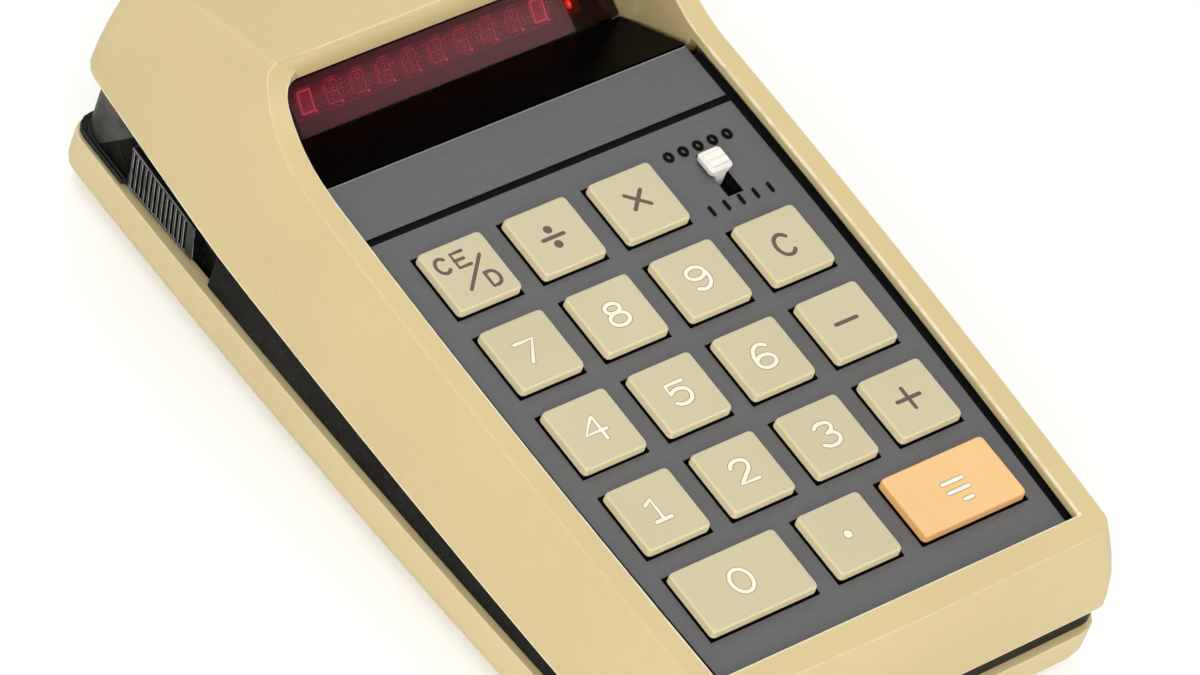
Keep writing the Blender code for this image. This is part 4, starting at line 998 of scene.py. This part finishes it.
LEGENDS = {
    "key_7": [[(-1.85, 1.45), (0.95, 1.45), (-1.1, -1.75)]],
    "key_8": [oval(-0.28, 0.87, 1.12, 0.78), oval(-0.25, -0.92, 1.42, 1.0)],
    "key_9": [oval(-0.45, 0.92, 1.38, 0.95),
              smoothed([(0.93, 0.92), (1.08, 0.1), (0.92, -0.75), (0.3, -1.5), (-0.6, -1.75),
                        (-1.5, -1.4)])],
    "key_4": [[(0.58, -1.93), (0.58, 1.6), (0.35, 1.6), (-1.85, -0.6), (1.35, -0.6)]],
    "key_5": [[(1.15, 1.47), (-1.5, 1.47), (-1.6, 0.05)]
              + smoothed([(-1.6, 0.05), (-0.9, 0.4), (-0.1, 0.5), (0.85, 0.2), (1.22, -0.6),
                          (0.85, -1.45), (0.0, -1.85), (-0.9, -1.8), (-1.55, -1.45)])],
    "key_6": [oval(-0.25, -0.88, 1.4, 1.0),
              smoothed([(1.05, 1.35), (0.5, 1.68), (-0.25, 1.72), (-1.05, 1.2), (-1.55, 0.2),
                        (-1.65, -0.88)])],
    "key_1": [[(-1.35, 1.05), (-0.28, 1.62), (-0.28, -1.72)], [(-1.5, -1.72), (0.85, -1.72)]],
    "key_2": [smoothed([(-1.5, 0.95), (-1.0, 1.55), (-0.15, 1.78), (0.8, 1.5), (1.15, 0.85),
                        (0.85, 0.1), (-0.1, -0.65), (-1.45, -1.7)]) + [(1.25, -1.72)]],
    "key_3": [smoothed([(-1.35, 1.35), (-0.75, 1.72), (0.05, 1.78), (0.95, 1.5), (1.12, 0.9),
                        (0.75, 0.35), (0.0, 0.12)]),
              smoothed([(0.0, 0.12), (0.85, -0.05), (1.3, -0.75), (1.0, -1.45), (0.2, -1.82),
                        (-0.75, -1.78), (-1.55, -1.35)])],
    "key_0": [oval(-0.38, 0.02, 1.55, 1.78)],
    "key_clear": [arc(-0.25, -0.28, 1.32, 1.68, 42, 318, 24)],
    "key_minus": [[(-2.0, -0.1), (1.45, -0.1)]],
    "key_plus": [[(-2.2, 0.05), (1.5, 0.05)], [(-0.35, 1.7), (-0.35, -1.6)]],
    "key_times": [[(-1.5, 1.45), (1.15, -1.05)], [(-1.45, -1.05), (1.1, 1.45)]],
    "key_equals": [[(-1.5, 0.66), (1.75, 0.66)], [(-1.45, -0.8), (1.8, -0.8)],
                   [(0.0, -2.4), (1.3, -2.4)]],
}
CLOSED = {"key_8": (0, 1), "key_9": (0,), "key_6": (0,), "key_0": (0,)}
DARK_LEGENDS = ("key_clear", "key_minus", "key_plus", "key_times")


def lay_legend(key, suffix, strokes, stroke, material, closed=(), slot="key_beige"):
    obj = inlay("%s_%s" % (key, suffix), strokes, *stroke, closed)
    lay_on_plate(obj, *KEY_PLACES[key], KEY_RISE)
    obj.data.materials.append(material)
    fixed_to(obj, body_of_node(key), slot)


def make_legend(key):
    slot = "key_orange" if key == "key_equals" else "key_beige"
    strokes = LEGENDS[key]
    closed = CLOSED.get(key, ())
    if key in DARK_LEGENDS:
        lay_legend(key, "legend", strokes, DARK_STROKE, LEGEND_BROWN)
        return
    lay_legend(key, "legend_rim", strokes, RIM_STROKE, LEGEND_RIM, closed, slot)
    lay_legend(key, "legend", strokes, CREAM_STROKE, CREAM, closed, slot)


def make_clear_entry_legend():
    strokes = [
        arc(-3.0, 2.03, 0.95, 1.2, 45, 315, 20),
        [(0.75, 3.2), (-1.05, 3.2), (-1.05, 0.87), (0.78, 0.87)], [(-1.05, 2.05), (0.35, 2.05)],
        [(-1.68, -2.65), (2.65, 1.68)],
        [(1.45, -1.1), (1.45, -3.4)] + arc(2.15, -2.25, 0.95, 1.15, -90, 90, 12) + [(1.45, -1.1)],
    ]
    lay_legend("key_clear_entry", "legend", strokes, SMALL_DARK_STROKE, LEGEND_BROWN)


def make_divide_legend():
    bar = [(-2.1, -0.13), (1.2, -0.13)]
    lay_legend("key_divide", "legend_bar", [bar], DARK_STROKE, LEGEND_BROWN)
    for name, y in (("legend_upper", 1.17), ("legend_lower", -1.38)):
        lay_legend("key_divide", name, [dot(-0.48, y)], DARK_DOT_STROKE, LEGEND_BROWN, (0,))


def make_point_legend():
    spot = dot(-0.44, -0.15)
    lay_legend("key_point", "legend_rim", [spot], RIM_DOT_STROKE, LEGEND_RIM, (0,))
    lay_legend("key_point", "legend", [spot], CREAM_DOT_STROKE, CREAM, (0,))


# Marks by the mode switch: five links above it and five upright bars below it, raised and black


def make_mode_marks():
    links = []
    bars = []
    for step in range(5):
        x = MARK_X + MARK_STEP * (step - 2)
        links.append(arc(x, 0.0, *LINK_RADII, 0, 330, 11))
        bars.append([(x, -BAR_HALF_HEIGHT), (x, BAR_HALF_HEIGHT)])
    for name, strokes, closed, y in (("mode_links", links, range(5), MARK_REAR_Y),
                                     ("mode_bars", bars, (), MARK_FRONT_Y)):
        obj = inlay(name, strokes, *MARK_STROKE, closed)
        lay_on_plate(obj, 0.0, y, MARK_RISE)
        obj.data.materials.append(CUT_SHADE_AND_MARK_BLACK)
        fixed_to(obj, "case", "inner_black")


# Lit figures behind the red filter, with the faint figures, the board's printed traces and glow
# strips made to glow as painted light


def segment_lines():
    """Strokes of one seven-bar figure about its own centre."""
    w, h = DIGIT_HALF_WIDTH, DIGIT_HALF_HEIGHT
    gap = 0.12
    lines = [[(-w + gap, h), (w - gap, h)], [(-w + gap, -h), (w - gap, -h)]]
    for x in (-w, w):
        lines += [[(x, gap), (x, h - gap)], [(x, -h + gap), (x, -gap)]]
    lines.append([(-w + gap, 0.0), (w - gap, 0.0)])
    return lines


def slanted(lines, x):
    return [[(px + x + DIGIT_SLANT * py, py + DIGIT_LINE) for px, py in line] for line in lines]


def put_behind_filter(obj, place, size, material):
    """Scale a piece that lies about the origin, and move it to its place in the filter's frame."""
    size = Matrix.Diagonal((*size, 1.0))
    obj.data.transform(FILTER_TO_WORLD @ Matrix.Translation(place) @ size)
    obj.data.materials.append(material)
    fixed_to(obj, "case", "digit_red")


def lay_figures(name, lines, width, material, closed=()):
    obj = inlay(name, lines, width, FIGURE_THICKNESS, closed, True)
    put_behind_filter(obj, (0.0, 0.0, DIGIT_FACE + FIGURE_LIFT), (1.0, 1.0, 1.0), material)


def make_painted_glow(name, x_from, x_to, y, height, material):
    """Strip of dim patchy painted glow, which fades out to its sides."""
    obj = new_primitive(name, bpy.ops.mesh.primitive_grid_add, x_subdivisions=16,
                        y_subdivisions=8, size=1.0)
    mark = obj.data.attributes.new("painted_glow_fade", "FLOAT", "POINT")
    mark.data.foreach_set("value", [(1.0 - (2.0 * v.co.x) ** 8) * (1.0 - (2.0 * v.co.y) ** 4)
                                    for v in obj.data.vertices])
    place = ((x_from + x_to) / 2, y, DIGIT_FACE + PAINTED_GLOW_LIFT)
    put_behind_filter(obj, place, (x_to - x_from, height, 1.0), material)


def make_end_lamp():
    """Small bright lamp at the right end of the board."""
    obj = new_primitive("end_lamp", bpy.ops.mesh.primitive_uv_sphere_add, segments=20,
                        ring_count=12, radius=LAMP_RADIUS)
    bpy.ops.object.shade_smooth()
    put_behind_filter(obj, (*LAMP_PLACE, DIGIT_FACE), LAMP_SHAPE, END_LAMP)


def trace_lines():
    """Printed lines on the board around one figure, about the figure's centre."""
    lines = []
    for row in range(5):
        y = -1.1 + 0.55 * row
        lines += [[(1.35, y), (1.85, y + 0.06)], [(2.15, y + 0.2), (2.6, y + 0.2)]]
    for y in (-0.75, 0.72):
        lines += [[(-0.45, y - 0.3), (0.45, y - 0.3)], [(-0.45, y + 0.3), (0.45, y + 0.3)],
                  [(-0.45, y), (-0.2, y)], [(0.2, y), (0.45, y)]]
    lines += [[(-1.3, -1.4), (-1.3, 1.3)], [(-0.6, 1.85), (0.9, 1.85)]]
    for step in range(7):
        x = -1.9 + 0.6 * step
        drop = 0.1 * (step % 3)
        lines.append([(x, -1.95 - drop), (x + 0.25, -1.9 - drop)])
    return lines


def make_lit_figures():
    bright = []
    faint = []
    traces = []
    points = []
    for place in range(DIGIT_COUNT):
        x = DIGIT_FIRST + DIGIT_PITCH * place
        if place in (0, DIGIT_COUNT - 1):
            w, h = DIGIT_HALF_WIDTH, DIGIT_HALF_HEIGHT
            bright += slanted([[(-w, -h), (w, -h), (w, h), (-w, h)]], x)
            faint += slanted([[(across, -1.2), (across, 1.2)] for across in (-0.5, 0.0, 0.5)], x)
        else:
            faint += slanted(segment_lines(), x)
        traces += slanted(trace_lines(), x)
        points += slanted([[(0.95, -1.62), (1.35, -1.62)]], x)
    lay_figures("figures_lit", bright, LIT_WIDTH, DIGIT_LIT, range(len(bright)))
    lay_figures("figure_points", points, POINT_WIDTH, DIGIT_LIT)
    # The faint figures and the printed traces are emissive: painted light.
    lay_figures("figures_faint_painted_glow", faint, FAINT_WIDTH, DIGIT_FAINT_PAINTED_GLOW)
    lay_figures("figure_traces_painted_glow", traces, TRACE_WIDTH, TRACE_PAINTED_GLOW)
    # Glow strips over the figure modules and round the end lamp: painted glow.
    for side, ends in zip(("left", "right"), MODULE_ENDS):
        make_painted_glow("figure_painted_glow_" + side, *ends, MODULE_PAINTED_GLOW_Y, MODULE_PAINTED_GLOW_HEIGHT, DIGIT_PAINTED_GLOW)
    make_painted_glow("end_lamp_painted_glow_strip", *LAMP_PAINTED_GLOW_ENDS, LAMP_PLACE[1], LAMP_PAINTED_GLOW_HEIGHT, END_LAMP_PAINTED_GLOW)
    make_end_lamp()


# Rims along the head and the foot of the power slider, over the ends of its ribs


def make_slider_rim(name, outer, front, rear, rise):
    """Bar of the slider's length; front and rear are its two ends as (y, z)."""
    rim = new_primitive(name, bpy.ops.mesh.primitive_cube_add, size=1.0)
    run, climb = rear[0] - front[0], rear[1] - front[1]
    middle = (outer + SLIDER_RIM_DEPTH, (rear[0] + front[0]) / 2, (rear[1] + front[1]) / 2 + rise)
    rim.data.transform(Matrix.Scale(MM, 4) @ Matrix.Translation(middle)
                       @ Matrix.Rotation(math.atan2(climb, run), 4, "X")
                       @ Matrix.Diagonal((1.0, math.hypot(climb, run), SLIDER_RIM_HEIGHT, 1.0)))
    round_edges(rim, SLIDER_BLACK, SLIDER_EDGE, full_wear, segments=2, limit_method="NONE")
    smooth_by_angle(rim, KEY_SHARP_TURN)
    fixed_to(rim, body_of_node("power_switch_slider"), "slider_black")


# Build the pieces

rounded_copy("top_housing", "upper_shell", "shell_tan", TAN, SHELL_EDGE, merge=0.2)
rounded_copy("bottom_cover", "lower_cover", "shell_tan", COVER_TAN, COVER_EDGE, merge=0.02)
rounded_copy("middle_housing", "middle_band", "band_black", BAND_BLACK, BAND_EDGE, merge=0.02)
flat_plate("keyboard_plate", "key_plate", "plate_grey", PLATE_GREY, STAMPED_EDGE)
rounded_copy("power_switch_slider", "power_slider", "slider_black", SLIDER_BLACK, SLIDER_EDGE)
rounded_copy("mode_switch_knob", "mode_knob", "knob_ivory", IVORY, KNOB_EDGE)
for key in KEY_PLACES:
    slot, finish = ("key_orange", KEY_ORANGE) if key == "key_equals" else ("key_beige", KEY_BEIGE)
    rounded_copy(key, key + "_cap", slot, finish, KEY_EDGE, KEY_SHARP_TURN, KEY_SMOOTH_TURN)
    if key in LEGENDS:
        make_legend(key)
make_clear_entry_legend()
make_divide_legend()
make_point_legend()
make_mode_marks()
make_lit_figures()
make_slider_rim("power_slider_head_rim", *SLIDER_HEAD)
make_slider_rim("power_slider_foot_rim", *SLIDER_FOOT)

for material, painted in (
        (INNER_BLACK, ("keyboard_frame", "mode_switch_body", "power_switch_body", "battery_tray",
                       "charging_jack")),
        (STEEL, ("case_screw_1", "case_screw_2", "contact_front", "contact_middle",
                 "contact_rear")),
        (BOARD_GREEN, ("main_circuit_board", "display_board")),
        (CHIP_GREY, ("calculator_chip", "display_driver_1", "display_driver_2",
                     "converter_coil")),
        (CELL_SLEEVE, ("cell_1", "cell_2", "cell_3", "cell_4", "cell_5", "cell_6")),
        (RUBBER, ("foot_1", "foot_2", "foot_3", "foot_4")),
        (BOARD_TAN, ("keyboard_switch_board",)),
        (CAPACITOR_BLUE, ("filter_capacitor",)),
        (SURROUND, ("display_surround",)),
        (FILTER_RED, ("display_filter",)),
        (DIGIT_BACKING, ("display_digits_left", "display_digits_right"))):
    for node in painted:
        paint(node, material)


# Light, floor and camera

# Name, place, aim, size and power of each lamp
LAMPS = (("rear_soft_box", (0.10, 0.60, 0.80), (0.0, 0.0, 0.02), (0.6, 0.4), 1.9),
         ("left_soft_box", (-0.58, -0.46, 0.40), (0.0, 0.0, 0.02), (0.5, 0.4), 2.55),
         ("front_soft_box", (0.30, -0.70, 0.50), (0.0, -0.02, 0.02), (0.5, 0.4), 1.15))
WORLD_COLOUR = (1.0, 0.99, 0.97)
WORLD_STRENGTH = 0.61
FLOOR_GREY = (0.90, 0.90, 0.90)
FLOOR_LIFT = 0.28
WHITE = (1.0, 1.0, 1.0)
LENS = 244.00025
CAMERA_FROM_PLATE = Vector((-0.56078142, -0.49311353, 0.7352011))
CAMERA_TURN = Matrix(((0.77971919, 0.32986729, -0.53218939),
                      (-0.592537, 0.66340839, -0.45693459),
                      (0.20233113, 0.67162257, 0.71273083)))


def soft_box(name, place, aim, size, power):
    light = bpy.data.lights.new(name, "AREA")
    light.shape = "RECTANGLE"
    light.size, light.size_y = size
    light.energy = power
    obj = new_object(name, light)
    obj.location = place
    obj.rotation_euler = (Vector(aim) - Vector(place)).to_track_quat("-Z", "Y").to_euler()


def make_world():
    """Soft light that the camera and reflections see as white."""
    world = bpy.data.worlds.new("studio")
    bpy.context.scene.world = world
    world.use_nodes = True
    tree = world.node_tree
    mix = add(tree, "MixShader")
    light = tree.nodes["Background"]
    white = add(tree, "Background")
    for node, colour, strength in ((light, WORLD_COLOUR, WORLD_STRENGTH), (white, WHITE, 1.0)):
        feed(node.inputs["Color"], colour)
        feed(node.inputs["Strength"], strength)
    path = add(tree, "LightPath").outputs
    seen = math_node(tree, "MAXIMUM", path["Is Camera Ray"], path["Is Glossy Ray"])
    seen = math_node(tree, "MAXIMUM", seen, path["Is Transmission Ray"])
    feed(mix.inputs["Fac"], seen)
    feed(mix.inputs[1], light.outputs["Background"])
    feed(mix.inputs[2], white.outputs["Background"])
    feed(tree.nodes["World Output"].inputs["Surface"], mix.outputs["Shader"])


def make_floor():
    """Pale floor that the camera sees a little lighter than it is, with the part's shadow."""
    floor = new_primitive("studio_floor", bpy.ops.mesh.primitive_plane_add, size=4.0)
    material, tree, shader = new_material("floor_white")
    seen = add(tree, "LightPath").outputs["Is Camera Ray"]
    for label, value in (("Base Color", FLOOR_GREY), ("Roughness", 0.9),
                         ("Specular IOR Level", 0.1), ("Emission Color", WHITE),
                         ("Emission Strength", product(tree, seen, FLOOR_LIFT))):
        feed(shader.inputs[label], value)
    floor.data.materials.append(material)


def make_camera():
    """Camera at the photograph's viewing angle."""
    view = bpy.data.cameras.new("view_from_photograph")
    view.lens = LENS
    view.sensor_width = 36.0
    view.clip_end = 20.0
    camera = new_object("view_from_photograph", view)
    camera.matrix_world = (Matrix.Translation(PLATE_ORIGIN + CAMERA_FROM_PLATE)
                           @ CAMERA_TURN.to_4x4())
    bpy.context.scene.camera = camera


make_world()
make_floor()
for lamp in LAMPS:
    soft_box(*lamp)
make_camera()
bpy.context.scene.view_settings.view_transform = "Standard"
